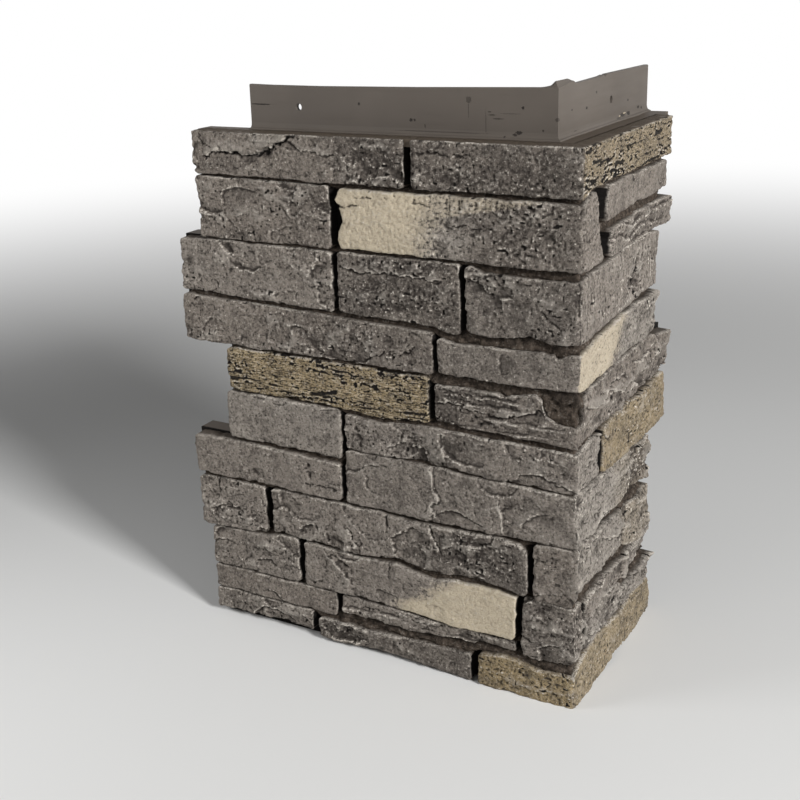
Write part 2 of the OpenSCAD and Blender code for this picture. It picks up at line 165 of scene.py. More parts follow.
# Cracks and creases, as (width, depth, how far the upper or left side stands out, points along the face)
CRACKS = [
    (1.9, 3.4, 1.8, [(-287, 375), (-275, 381), (-262, 380), (-248, 378), (-236, 381), (-222, 388), (-211, 394)]),
    (0.7, 1.5, 0.8, [(-214, 389), (-207, 384), (-195, 383), (-178, 381)]),
    (0.7, 1.5, 0.0, [(-292, 392), (-288, 386), (-280, 383)]),
    (0.8, 2.0, 0.3, [(-118, 385), (-108, 386), (-90, 385), (-77, 386)]),
    (0.6, 1.5, 0.0, [(-232, 384), (-227, 392)]),
    (0.8, 2.2, 0.6, [(-308, 269), (-300, 275), (-294, 275), (-288, 279)]),
    (0.6, 1.5, 0.0, [(-301, 284), (-300, 278)]),
    (0.5, 1.2, 0.0, [(-316, 265), (-308, 263), (-300, 267)]),
    (0.8, 2.0, 0.6, [(-160, 240), (-150, 244), (-144, 247)]),
    (0.8, 2.2, 0.6, [(-138, 246), (-126, 249), (-121, 254)]),
    (1.1, 2.5, 1.8, [(-64, 211), (-50, 213), (-40, 217), (-27, 221)]),
    (0.8, 1.8, 1.0, [(-107, 214), (-95, 217), (-80, 214), (-64, 213)]),
    (0.7, 1.6, 0.4, [(-216, 135), (-205, 135), (-188, 134)]),
    (0.5, 0.0, 1.5, [(-109, 167), (-108, 152), (-104, 142), (-109, 138), (-108, 132), (-104, 125)]),
    (0.5, 0.0, 1.0, [(-58, 152), (-54, 140), (-53, 125)]),
    (0.5, 0.0, 0.9, [(-99, 197), (-100, 186), (-99, 172)]),
    (0.6, 0.6, -1.6, [(-203, 81), (-195, 73), (-188, 67), (-180, 61)]),
    (0.8, 2.0, 0.0, [(-146, 86), (-146, 70)]),
    (1.0, 2.2, 1.0, [(-112, 122), (-109, 113), (-103, 101)]),
    (1.2, 2.0, 0.0, [(-148, 122), (-147, 113)]),
    (0.8, 1.4, 0.9, [(-183, 107), (-178, 101), (-174, 95), (-171, 88)]),
    (0.7, 1.5, 0.0, [(-40, 51), (-33, 46), (-24, 45)]),
    (0.7, 1.5, -0.5, [(-27, 289), (-21, 283), (-14, 279), (-8, 280)]),
    (0.9, 1.6, 0.0, [(-72, 304), (-66, 308), (-60, 310), (-56, 304)]),
    (0.7, 1.5, 0.0, [(-116, 289), (-104, 288), (-97, 290)]),
    (0.9, 1.6, 1.4, [(-178, 305), (-160, 302), (-140, 303), (-100, 302)]),
    (0.9, 2.2, 0.0, [(-176, 347), (-160, 349)]),
    (0.7, 1.6, 0.0, [(-163, 354), (-150, 355)]),
    (0.7, 1.5, 0.0, [(-120, 353), (-106, 352)]),
    (0.7, 1.4, 0.6, [(-92, 340), (-78, 341), (-66, 340)]),
    (1.0, 2.0, 0.0, [(-302, 123), (-301, 112)]),
    (0.9, 2.2, 0.5, [(-214, 51), (-208, 55)]),
    (1.0, 2.4, 0.6, [(-172, 39), (-158, 40)]),
    (0.9, 2.2, 0.6, [(-128, 39), (-110, 39), (-92, 41)]),
    (1.7, 3.4, 0.4, [(12, 126), (33, 124), (37, 136)]),
    (1.3, 2.2, 1.8, [(23, 58), (48, 66), (70, 60)]), (1.2, 2.0, 2.4, [(90, 56), (105, 71), (133, 78)]),
    (1.0, 1.5, 2.2, [(36, 78), (54, 81), (100, 75)]), (1.2, 2.2, 1.8, [(90, 56), (115, 51), (150, 44)]),
    (1.1, 2.2, 1.2, [(9, 39), (24, 47), (65, 37)]), (1.5, 3.0, 0.0, [(24, 224), (27, 214)]),
    (1.5, 3.0, 0.0, [(60, 226), (64, 219)]), (1.5, 2.6, 0.6, [(36, 206), (44, 211)]),
    (1.0, 2.5, 0.8, [(93, 295), (103, 296), (112, 290)]),
    (1.9, 3.5, 0.0, [(103, 309), (101, 296)]), (1.9, 3.5, 0.0, [(100, 291), (103, 279)]),
    (1.0, 2.2, 1.2, [(108, 161), (120, 157), (134, 155)]),
    (1.0, 2.2, 1.4, [(20, 200), (32, 197), (46, 192), (58, 186)]),
    (0.9, 2.0, 1.0, [(46, 114), (60, 108), (75, 103), (92, 98)]),
    (2.2, 4.0, 0.0, [(42, 77), (46, 71)]),
    (1.0, 2.2, 0.5, [(28, 38), (45, 38), (62, 37)]),
    (1.0, 2.2, 0.5, [(118, 35), (138, 35)]),
    (1.0, 2.0, 1.6, [(16, 222), (34, 217), (60, 221), (84, 212), (104, 216)]),
    (1.0, 2.2, -1.6, [(102, 216), (112, 210), (124, 205), (150, 202)]),
    (0.9, 2.0, 1.3, [(38, 226), (52, 222), (66, 226), (92, 222)]),
    (0.9, 2.0, -1.0, [(108, 228), (124, 224), (146, 226)]),
]

# Hollows, as (depth, width of the slope, corners of a convex outline)
HOLLOWS = [
    (2.2, 2.0, [(-200, 79), (-182, 62), (-181, 70), (-188, 78)]),
    (2.2, 1.5, [(-218, 151), (-214, 140), (-208, 143), (-213, 153)]),
    (2.0, 1.2, [(-277, 313), (-271, 303), (-266, 303), (-273, 314)]),
    (2.0, 1.5, [(-279, 289), (-272, 291), (-271, 298), (-276, 297)]),
    (1.8, 2.0, [(-170, 304), (-152, 296), (-150, 300), (-165, 305)]),
    (2.5, 1.2, [(-174, 361), (-165, 361), (-168, 369)]),
    (1.2, 4.0, [(-279, 139), (-266, 128), (-259, 130), (-262, 140)]),
    (1.8, 3.0, [(-178, 181), (-166, 171), (-164, 180), (-170, 188)]),
    (1.6, 2.5, [(-45, 351), (-36, 342), (-32, 345), (-38, 352)]),
    (1.8, 1.5, [(-260, 313), (-251, 307), (-249, 310), (-256, 315)]),
    (1.8, 1.2, [(-231, 356), (-227, 354), (-225, 357)]),
    (2.4, 3.0, [(-80, 212), (-80, 204), (-62, 203), (-58, 210)]),
    (2.2, 2.0, [(96, 281), (110, 277), (112, 281), (99, 285)]),
    (2.0, 2.0, [(101, 300), (109, 301), (107, 305), (102, 305)]),
    (3.6, 0.8, [(99, 309), (104, 310), (105, 298), (100, 296)]),
    (3.6, 0.8, [(97, 291), (103, 292), (105, 280), (100, 279)]),
    (2.2, 3.0, [(99, 140), (112, 133), (110, 146)]),
    (2.0, 1.5, [(138, 169), (142, 163), (145, 167)]),
    (2.0, 2.0, [(70, 206), (90, 200), (96, 206), (80, 211)]),
]

# Rough patches, as (place along the face, height, half its width, half its height, height of the roughness)
ROUGH = [
    (-150, 378, 36, 17, 1.0), (-265, 372, 24, 8, 0.8), (-60, 370, 60, 10, 0.7), (-200, 345, 24, 18, 0.8),
    (-50, 353, 60, 5, 1.2), (-35, 335, 38, 15, 0.9), (-135, 308, 44, 6, 1.2), (-135, 288, 44, 14, 0.9),
    (-62, 306, 20, 6, 1.0), (-170, 252, 62, 16, 0.6), (-165, 182, 20, 14, 1.0), (-120, 180, 34, 13, 0.8),
    (-22, 182, 26, 12, 0.6), (-78, 106, 48, 18, 1.2), (-60, 152, 40, 10, 0.5), (-285, 92, 28, 9, 0.8),
    (-250, 72, 34, 9, 0.7), (-90, 222, 22, 12, 1.2), (-98, 205, 14, 8, 1.3), (115, 142, 40, 20, 1.8),
    (150, 214, 40, 16, 0.5), (70, 205, 30, 8, 0.5), (135, 262, 24, 10, 1.0), (104, 292, 16, 14, 1.4), (12, 54, 24, 18, 1.2),
    (70, 46, 60, 12, 0.8), (120, 327, 60, 10, 0.6), (-190, 15, 24, 10, 0.9), (-25, 65, 24, 16, 0.4),
]

# Bends of the stones' upper and lower edges, as (stone, edge, shifts at places along the face)
EDGES = [
    (14, "low", [(-33, -6), (-3, -6), (2, 7), (20, 7), (50, 4), (90, 5), (105, -2), (120, -5), (150, -6)]),
    (2, "high", [(-40, 0), (-28, -2), (-10, -3), (0, -3), (6, -1), (15, 0), (84, 0), (94, -3), (104, -1), (120, 0)]),
    (26, "low", [(-83, 3), (-65, 0), (-50, 1), (-35, 3), (-20, -1), (0, 1), (60, 0)]),
    (26, "high", [(-78, 3), (-68, -1), (-20, -2), (0, -2), (8, 0), (60, 2), (110, 3), (149, 2)]),
    (23, "high", [(-26, 0), (-22, -2), (-19, -1), (-16, -4), (-13, -3), (-10, -1), (-6, 0), (10, 0), (60, 3), (150, 2)]),
    (21, "high", [(-108, -2), (-58, -2), (-53, -4), (-49, -2), (-32, 0), (-27, -3), (-25, -12), (-15, -18), (0, -19), (9, -18),
                  (13, -3), (16, 2), (50, 3), (150, 3), (160, 0)]),
    (8, "high", [(-140, 0), (-125, -2), (-110, -3), (-95, -1), (-70, -1), (-42, 0)]),
    (13, "high", [(-50, 0), (-42, -2), (-37, -5), (-33, -12)]),
    (14, "high", [(50, 0), (60, -1), (95, -4), (130, -5), (140, -3), (150, -1)]),
    (16, "low", [(60, 0), (85, 3), (100, 7), (130, 6), (147, 2)]),
]

# Bends of the stones' ends, as (stone, end, shifts at heights)
ENDS = [
    (28, "right", [(320, 5), (330, 1), (340, -4), (357, -5), (366, -8)]), (28, "left", [(320, 2), (325, 0), (338, 6), (345, 4), (352, 0), (358, 3)]),
    (29, "left", [(318, 0), (328, 4), (333, 0), (338, -7)]), (30, "left", [(343, -1), (353, 3), (363, 6)]), (21, "right", [(202, -8), (215, -7), (224, -3), (231, 0)]),
    (19, "right", [(160, 3), (180, -3), (184, 0), (198, -4)]), (11, "right", [(65, -10), (70, -6), (77, 0), (80, -2)]),
    (6, "right", [(36, -15), (46, -14), (50, 0)]), (2, "right", [(0, 0), (10, -4), (25, -8), (34, -14)]),
]

# Upright joints that are wider than the rest, as (stone on the left, stone on the right, extra width)
WIDE_JOINTS = [
    (31, 32, 2.5), (27, 28, 2.5), (24, 25, 1), (25, 26, 1), (22, 23, 0.5), (20, 21, 1), (12, 13, 3), (13, 14, 1),
    (7, 8, 2), (8, 9, 1.5), (3, 4, 1.5), (4, 9, 1.5), (0, 1, 3), (1, 2, 3),
]

# Marks on the flange, as (centre, half sizes, strength in mm); below 0 is a pale one, a painted highlight
FLANGE_MARKS = [
    ((-221, -4, 411.2), (9.5, 2, 0.45), 0.95), ((-139.8, -4, 413.3), (0.9, 2, 0.9), 0.9),
    ((-100.1, -4, 403.9), (1.1, 2, 1.0), 0.9), ((-97.4, -4, 404), (0.8, 2, 0.8), 0.8),
    ((-89.7, -4, 400.4), (0.5, 2, 1.2), 0.5), ((-57.6, -4, 417.8), (2.0, 2, 2.0), 0.5),
    ((-57.7, -4, 411.5), (0.4, 2, 5), 0.35), ((-45.5, -4, 404), (0.35, 2, 7.5), 0.4),
    ((-79, -4, 396.9), (33, 2, 0.35), 0.4), ((-41.1, -4, 408.8), (2.5, 2, 0.5), 0.6),
    ((-36.9, -4, 406.5), (3.5, 2, 0.5), 0.6), ((-42.5, -4, 410.7), (1.2, 2, 0.4), 0.6),
    ((-28.6, -4, 409.8), (6, 2, 0.3), 0.35), ((-19.7, -4, 413.7), (0.9, 2, 0.9), 0.9),
    ((-22.3, -4, 398.2), (2.2, 2, 1.0), 0.9), ((-25.1, -4, 396.9), (1.6, 2, 0.8), 0.8),
    ((-32, -4, 395.4), (0.8, 2, 0.8), 0.8), ((-6, -4, 400), (0.7, 2, 0.7), 0.8),
    ((4, 19.1, 410.7), (2, 1.2, 0.6), 0.7), ((4, 45.6, 409.1), (2, 1.6, 0.8), 0.9),
    ((4, 63.4, 417.6), (2, 1.4, 0.8), 0.7), ((4, 126.3, 406.1), (2, 1.5, 0.8), 0.8),
    ((4, 148.9, 398.9), (2, 2.2, 1.0), 0.9), ((4, 155.8, 397.8), (2, 1.5, 0.9), 0.9),
    ((4.5, 114.6, 397), (2.5, 5, 1.2), 0.8), ((4.5, 127, 397), (2.5, 3, 1.2), 0.9),
    ((4.5, 106, 395.8), (2.5, 4, 0.6), 0.5), ((4, 25, 396.8), (2, 3, 0.4), 0.35),
    ((4, -4, 407), (2, 2, 1.2), 0.6), ((4.5, 119, 397.9), (2.5, 3, 0.5), -0.8), ((4.5, 109, 396.9), (2.5, 2, 0.4), -0.8),
]


def lattice(ix, iy, seed):
    """A repeatable value from 0 to 1 at each whole-number point: its coordinates times primes, bits mixed."""
    h = (ix.astype(np.int64) * 374761393 + iy.astype(np.int64) * 668265263 + seed * 974634777) & 0xFFFFFFFF
    h = ((h ^ (h >> 13)) * 1274126177) & 0xFFFFFFFF
    return ((h ^ (h >> 16)) & 0xFFFFFF) / float(0xFFFFFF)


def noise(x, y, seed):
    """Smooth noise from -1 to 1: lattice values blended across each cell with the fifth-order ease curve."""
    ix, iy = np.floor(x), np.floor(y)
    fx, fy = x - ix, y - iy
    fx = fx * fx * fx * (fx * (fx * 6 - 15) + 10)
    fy = fy * fy * fy * (fy * (fy * 6 - 15) + 10)
    low = lattice(ix, iy, seed) * (1 - fx) + lattice(ix + 1, iy, seed) * fx
    high = lattice(ix, iy + 1, seed) * (1 - fx) + lattice(ix + 1, iy + 1, seed) * fx
    return (low * (1 - fy) + high * fy) * 2 - 1


def layered_noise(x, y, seed, octaves=3, gain=0.5):
    """Sum of noises, each of half the size and gain times the height of the one before."""
    total, height, span = 0.0, 1.0, 0.0
    for octave in range(octaves):
        total = total + noise(x * 2**octave, y * 2**octave, seed + octave * 17) * height
        span += height
        height *= gain
    return total / span


def facets(x, y, seed, tilt=1.0, bowl=0.6):
    """Broken planes: the lowest of the planes of the nine nearest cells, each tilted and hollowed its own way."""
    ix, iy = np.floor(x), np.floor(y)
    best = np.full(x.shape, 9.0)
    for dx in (-1, 0, 1):
        for dy in (-1, 0, 1):
            cx, cy = ix + dx, iy + dy
            px = x - cx - 0.15 - 0.7 * lattice(cx, cy, seed)
            py = y - cy - 0.15 - 0.7 * lattice(cx, cy, seed + 1)
            slope_x = (lattice(cx, cy, seed + 2) - 0.5) * tilt
            slope_y = (lattice(cx, cy, seed + 3) - 0.5) * tilt
            level = lattice(cx, cy, seed + 4) * 0.8
            best = np.minimum(best, level + slope_x * px + slope_y * py + bowl * (px * px + py * py))
    return best - 0.4


def flakes(x, y, seed, reach):
    """Scars of broken-off flakes. Each cell holds an ellipse of its own size and turn: its depth, from 0 to 1,
    grows from nothing at one end to a sharp brink at the other. Returns the depth and a line on the brinks, for a
    painted highlight."""
    ix, iy = np.floor(x), np.floor(y)
    ragged = 0.17 * layered_noise(x * 2.2, y * 2.2, seed + 5, 4, 0.7)
    depth, brink = np.zeros(x.shape), np.zeros(x.shape)
    for dx in (-1, 0, 1):
        for dy in (-1, 0, 1):
            cx, cy = ix + dx, iy + dy
            px = x - cx - 0.2 - 0.6 * lattice(cx, cy, seed)
            py = y - cy - 0.2 - 0.6 * lattice(cx, cy, seed + 1)
            size = 0.2 + 0.5 * lattice(cx, cy, seed + 2) ** 2
            turn = math.pi + (lattice(cx, cy, seed + 3) - 0.5) * 4.5
            along = (px * np.cos(turn) + py * np.sin(turn)) / size
            across = (py * np.cos(turn) - px * np.sin(turn)) / size / 1.3
            edge = (1 - np.hypot(along, across)) * size + ragged
            there = ease(lattice(cx, cy, seed + 4), 0.35, 0.9)
            deep = there * ease(edge, 0, reach) * np.clip(0.5 + 0.5 * along, 0, 1)
            line = there * np.exp(-(((edge + 0.3 * reach) / (0.45 * reach)) ** 2)) * ease(along, 0.35, 0.9)
            brink = np.maximum(brink * (1 - ease(deep, 0.0, 0.2)), line)
            depth = np.maximum(depth, deep)
    return depth, brink


def ease(value, low, high):
    """0 below low, 1 above high, with a smooth step between."""
    t = np.clip((value - low) / (high - low), 0, 1)
    return t * t * (3 - 2 * t)


def blurred(field, reach):
    """Mean of a grid over a square of 2 * reach + 1 cells, from running sums along both ways."""
    for axis in (0, 1):
        field = np.moveaxis(field, axis, 0)
        padded = np.concatenate([field[:1].repeat(reach + 1, 0), field, field[-1:].repeat(reach, 0)])
        total = padded.cumsum(0)
        field = np.moveaxis((total[2 * reach + 1:] - total[:-2 * reach - 1]) / (2 * reach + 1), 0, axis)
    return field


def marks(s, z):
    """Depth of the cracks, steps and hollows, and a line on the brinks of the steps for a painted highlight. A crack's
    depth falls off as a bell curve with the distance from its line. Beside a stepped one, the upper or left side
    stands out and sinks back over 25 mm. A hollow is as deep as the smallest distance inside its edges allows."""
    depth, brink = np.zeros(s.shape), np.zeros(s.shape)
    ws = s + 1.0 * noise(s / 4, z / 4, 71) + 0.9 * noise(s / 1.7, z / 1.7, 73)
    wz = z + 1.0 * noise(s / 4, z / 4, 72) + 0.9 * noise(s / 1.7, z / 1.7, 74)
    thin = 0.35 + 0.75 * ease(layered_noise(s / 5, z / 4, 75, 2), -0.3, 0.4)
    for width, deep, step, points in CRACKS:
        xs, zs = np.array([p[0] for p in points], float), np.array([p[1] for p in points], float)
        if xs.max() + 6 < s.min() or xs.min() - 6 > s.max() or zs.max() + 6 < z.min() or zs.min() - 6 > z.max():
            continue
        near = np.full(s.shape, 99.0)
        for x0, z0, x1, z1 in zip(xs[:-1], zs[:-1], xs[1:], zs[1:]):
            along = np.clip(((ws - x0) * (x1 - x0) + (wz - z0) * (z1 - z0)) / ((x1 - x0)**2 + (z1 - z0)**2), 0, 1)
            near = np.minimum(near, np.hypot(ws - x0 - along * (x1 - x0), wz - z0 - along * (z1 - z0)))
        depth = depth + deep * np.exp(-((near / (width * thin)) ** 2))
        if np.ptp(xs) > np.ptp(zs):
            side, run, ends = wz - np.interp(ws, xs, zs), ws, (xs.min(), xs.max())
        else:
            order = np.argsort(zs)
            side, run, ends = np.interp(wz, zs[order], xs[order]) - ws, wz, (zs.min(), zs.max())
        inside = ease(run, ends[0] - 2, ends[0] + 4) * (1 - ease(run, ends[1] - 4, ends[1] + 2))
        away = side if step > 0 else -side
        depth = depth - abs(step) * inside * ease(away, -0.6, 0.6) * np.exp(-np.clip(away, 0, None) / 25)
        brink = np.maximum(brink, inside * min(1, abs(step)) * np.exp(-(((away - 0.9) / 0.9) ** 2)))
    for deep, slope, corners in HOLLOWS:
        xs, zs = np.array([c[0] for c in corners], float), np.array([c[1] for c in corners], float)
        turn = np.sign(np.sum(xs * np.roll(zs, -1) - zs * np.roll(xs, -1)))
        inside = np.full(s.shape, 99.0)
        for x0, z0, x1, z1 in zip(xs, zs, np.roll(xs, -1), np.roll(zs, -1)):
            inside = np.minimum(inside, turn * ((x1 - x0) * (wz - z0) - (z1 - z0) * (ws - x0)) / math.hypot(x1 - x0, z1 - z0))
        inside = inside + 1.6 * layered_noise(s / 4, z / 3, 76, 3)
        depth = depth + deep * (0.6 + 0.6 * noise(s / 3, z / 3, 78)) * ease(inside, -1.0, slope + 1)
    return depth, brink


def rough_patches(s, z):
    """Height of the extra roughness: ellipses with uneven edges, the strongest where they overlap."""
    patch = np.zeros(s.shape)
    for place, level, half_w, half_h, extra in ROUGH:
        reach = 1 - ((s - place) / half_w) ** 2 - ((z - level) / half_h) ** 2
        patch = np.maximum(patch, extra * ease(reach + 0.5 * layered_noise(s / 12, z / 8, 81, 2), 0.0, 0.6))
    return patch


def face_height(s, z, kind, seed, cream):
    """How far the split face stands out: tilted planes, hollow chips, roughness and grit, less pits, layers and
    the scars of large and small flakes. Chips and roughness come and go in clouds, and rough patches add more
    of both. Cream stretches are smoother. Also returns the pits, which get painted shade, and the scars' brinks,
    which get a painted highlight."""
    broad, chips, rough, grit, pits, layers, scars = FACES[kind]
    chips, rough, scars = chips * (1 - 0.8 * cream), rough * (1 - 0.5 * cream), scars * (1 - 0.7 * cream)
    pits = pits * (1 - 0.97 * cream * ease(z.max() - z, 8, 14))
    ws = s + 4 * layered_noise(s / 18, z / 14, seed + 31, 2)
    wz = z + 3 * layered_noise(s / 18, z / 14, seed + 32, 2)
    cloud = ease(layered_noise(s / 26, z / 16, seed + 33, 2), -0.25, 0.35)
    patch = rough_patches(s, z)
    height = broad * facets(ws / 46, wz / 24, seed + 1)
    height = height + (chips * (0.3 + 0.9 * cloud) + 0.9 * patch) * facets(ws / 17, wz / 10, seed + 7, 2.0, 0.9)
    height = height + (chips * 0.3 * cloud + 0.6 * patch) * facets(ws / 6.5, wz / 4.5, seed + 9, 2.0, 1.0)
    height = height + (rough * (0.4 + 0.6 * cloud) + 0.3 * patch) * layered_noise(s / 5, z / 4, seed + 13, 3, 0.6)
    height = height + (grit + 0.25 * patch) * layered_noise(s / 2.0, z / 1.8, seed + 19, 2)
    large, large_brink = flakes(ws / 34, wz / 22, seed + 91, 0.04)
    small, small_brink = flakes(ws / 9, wz / 13, seed + 97, 0.08)
    height = height - scars * large - 0.35 * scars * small
    brink = np.maximum(large_brink, 0.8 * small_brink) * np.clip(scars * 0.7, 0, 1)
    brink = brink * ease(noise(s / 4, z / 4, seed + 93), -0.2, 0.5)
    hole = ease(noise(s / 2.4, z / 1.9, seed + 23), 0.68, 0.88) * np.clip(pits * 2 * (0.2 + cloud + patch), 0, 1)
    crest = (1 - np.abs(noise(ws / 5, wz / 6, seed + 27))) ** 7
    height = height + 0.35 * cloud * crest * ease(noise(s / 8, z / 8, seed + 29), 0.2, 0.45)
    if kind == "pitted":
        bands = ease(layered_noise(s / 40, z / 5, seed + 45, 2), -0.4, 0.3)
        ps, pz = s + 1.6 * noise(s / 3, z / 2, seed + 48), z + 0.7 * noise(s / 4, z / 2, seed + 49)
        pores = noise(ps / 3.4, pz / 1.25, seed + 43) + 0.5 * noise(ps / 1.8, pz / 1.1, seed + 47)
        crowd = 0.25 * bands + 0.35 * ease(z.mean() - z, -4, 10) * (s > 0) - 0.08 * (s > 0)
        hole = (0.7 + 0.3 * bands) * ease(pores + crowd, 0.6, 0.8)
        hole = np.maximum(hole, 0.55 * ease(noise(ps / 20, pz / 1.3, seed + 41) + 0.3 * bands, 0.55, 0.8))
    elif kind == "grained":
        furrows = noise(s / 1.7, z / 14, seed + 45) + 0.5 * noise(s / 1.2, z / 5, seed + 46)
        height = height - layers * ease(furrows, 0.2, 0.8)
    elif layers:
        step = (z + 5 * layered_noise(s / 30, z / 12, seed + 51, 3) + s * 0.03) / 8
        saw = step - np.floor(step)
        height = height + layers * (saw - 0.5) * ease(1 - saw, 0.0, 0.15) * (0.4 + 0.9 * cloud)
    return height - 1.1 * hole, hole, brink


def on_panel(s, d, z, sizes):
    """Point at place s along the face, a depth d behind it and a height z. Within 18 mm of the outer corner the
    way inwards fans out from square to the face until it runs along the mitre."""
    reach = 18.0
    fan = np.clip(1 - np.abs(s) / reach, 0, 1)
    front = s <= 0
    x = np.where(front, sizes.return_t + s - d * fan, sizes.return_t - d)
    y = np.where(front, -sizes.front_t + d, -sizes.front_t + s + d * fan)
    return np.stack([x, y, np.broadcast_to(z, x.shape)], -1)


def grid_faces(rows, columns):
    """Four-cornered faces of a grid whose points are numbered along its second way first."""
    a = (np.arange(rows - 1)[:, None] * columns + np.arange(columns - 1)).ravel()
    return np.stack([a, a + columns, a + columns + 1, a + 1], -1)


def make_piece(name, points, quads, tris, masks, material, slot="coated_moulding", flat=False):
    """Makes a mesh object from points in millimetres, faces of four and three corners, and masks on its points."""
    mesh = bpy.data.meshes.new(name)
    loops = np.concatenate([quads.ravel(), tris.ravel()]).astype(np.int32)
    totals = np.concatenate([np.full(len(quads), 4), np.full(len(tris), 3)]).astype(np.int32)
    starts = np.concatenate([[0], totals.cumsum()[:-1]]).astype(np.int32)
    mesh.vertices.add(len(points))
    mesh.vertices.foreach_set("co", (points * MM).astype(np.float32).ravel())
    mesh.loops.add(len(loops))
    mesh.loops.foreach_set("vertex_index", loops)
    mesh.polygons.add(len(totals))
    mesh.polygons.foreach_set("loop_start", starts)
    mesh.polygons.foreach_set("loop_total", totals)
    mesh.polygons.foreach_set("use_smooth", np.full(len(totals), not flat))
    for label, values in masks.items():
        mesh.attributes.new(label, "FLOAT", "POINT").data.foreach_set("value", values.astype(np.float32))
    mesh.update(calc_edges=True)
    mesh.validate()
    return add_piece(name, mesh, material)


def add_piece(name, mesh, material):
    """Puts a finished mesh into the scene as a piece that rides on the panel and stands for its solid."""
    mesh.materials.clear()
    mesh.materials.append(material)
    piece = bpy.data.objects.new(name, mesh)
    bpy.context.scene.collection.objects.link(piece)
    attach(piece, "root")
    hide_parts(NODE)
    return piece


class Layout:
    """The panel's sizes in millimetres and the pattern of courses stretched to them."""

    def __init__(self, settings):
        self.face_h = settings.face_height / MM
        self.front_w = settings.front_width / MM
        self.return_w = settings.return_width / MM
        self.front_t = settings.front_thickness / MM
        self.return_t = settings.return_thickness / MM
        self.joint_depth = settings.joint_depth / MM
        self.joint_w = settings.joint_width / MM
        self.bed_w = settings.bed_width / MM
        self.edge_w = settings.edge_width / MM
        self.flange_h = settings.flange_height / MM
        self.flange_t = settings.flange_thickness / MM
        self.flange_front = settings.flange_front / MM
        self.flange_return = settings.flange_return / MM
        self.lap_gap = settings.lap_gap / MM
        self.cell = settings.cell / MM * 1
        self.pattern_h = BEDS[TOP_BED][0][1]
        self.pattern_front = -min(course[2] for course in COURSES)
        self.pattern_return = max(stone[3] for stone in STONES)

    def along(self, s):
        """Place on the panel for a place on the pattern."""
        s = np.asarray(s, float)
        return np.where(s < 0, s * self.front_w / self.pattern_front, s * self.return_w / self.pattern_return)

    def pattern_place(self, s):
        """Place on the pattern for a place on the panel."""
        return np.where(s < 0, s * self.pattern_front / self.front_w, s * self.pattern_return / self.return_w)

    def bed(self, index, s):
        """Height of a bed joint's middle at places on the pattern."""
        xs, zs = zip(*BEDS[index])
        return np.interp(s, xs, zs) * self.face_h / self.pattern_h

    def stone_edges(self, number, columns):
        """Lower and upper edges of a stone at places along the panel, before they are made ragged."""
        below, above, _, _, gap_low, gap_high = STONES[number][:6]
        place = self.pattern_place(columns)
        low = self.bed(below, place) + (0 if below == FOOT_BED else self.bed_w / 2) + gap_low
        high = self.face_h - 0.02 if above == TOP_BED else self.bed(above, place) - self.bed_w / 2 - gap_high
        return low + bent(EDGES, number, "low", place), high + bent(EDGES, number, "high", place)


def draped_block(layout, columns, low, high, depth, root, draft, wobble):
    """A closed block draped over a grid. depth gives the face's depth on the grid of columns and rows; round
    it the sides go back to root in five steps and lean outwards by draft, and flat faces close the back.
    Returns the points, faces of four, faces of three, and how far each point is down the ends and the sides."""
    steps = 5
    nu, nv = depth.shape[0] - 1, depth.shape[1] - 1
    i = np.arange(nu + 2 * steps + 1)[:, None]
    j = np.arange(nv + 2 * steps + 1)[None, :]
    ia, ib = np.clip(i - steps, 0, nu), np.clip(j - steps, 0, nv)
    over_i = np.maximum(steps - i, i - nu - steps).clip(0) / steps
    over_j = np.maximum(steps - j, j - nv - steps).clip(0) / steps
    level = np.maximum(over_i, over_j)
    t = ib / nv
    s = (columns[:, None] + wobble)[ia, ib] - draft * over_i * np.sign(steps + nu / 2 - i)
    z = (low[:, None] + (high - low)[:, None] * (np.arange(nv + 1) / nv))[ia, ib]
    z = z - draft * over_j * np.where(t < 0.5, 1, -1)
    d = depth[ia, ib] * (1 - level) + root * level
    points = on_panel(s, d, np.maximum(z, 0), layout)
    rows, across = points.shape[0], points.shape[1]
    faces = grid_faces(rows, across)
    a = np.arange(1, rows - 2)
    back = np.stack([(a + 1) * across, a * across, a * across + across - 1, (a + 1) * across + across - 1], -1)
    b = np.arange(across - 1)
    left = np.stack([np.full(across - 1, across), b, b + 1], -1)
    last = (rows - 1) * across
    right = np.stack([np.full(across - 1, last - across), last + b + 1, last + b], -1)
    ends = np.array([[across, across - 1, 2 * across - 1], [last - across, last - 1, last + across - 1]])
    return points.reshape(-1, 3), np.concatenate([faces, back]), np.concatenate([left, right, ends]), (over_i, over_j)


def bent(table, number, side, at):
    """Shift of one side of a stone at places along it, from the table of bends, 0 where it has none."""
    for stone, name, shifts in table:
        if stone == number and name == side:
            return np.interp(at, [p[0] for p in shifts], [p[1] for p in shifts])
    return np.zeros(at.shape)


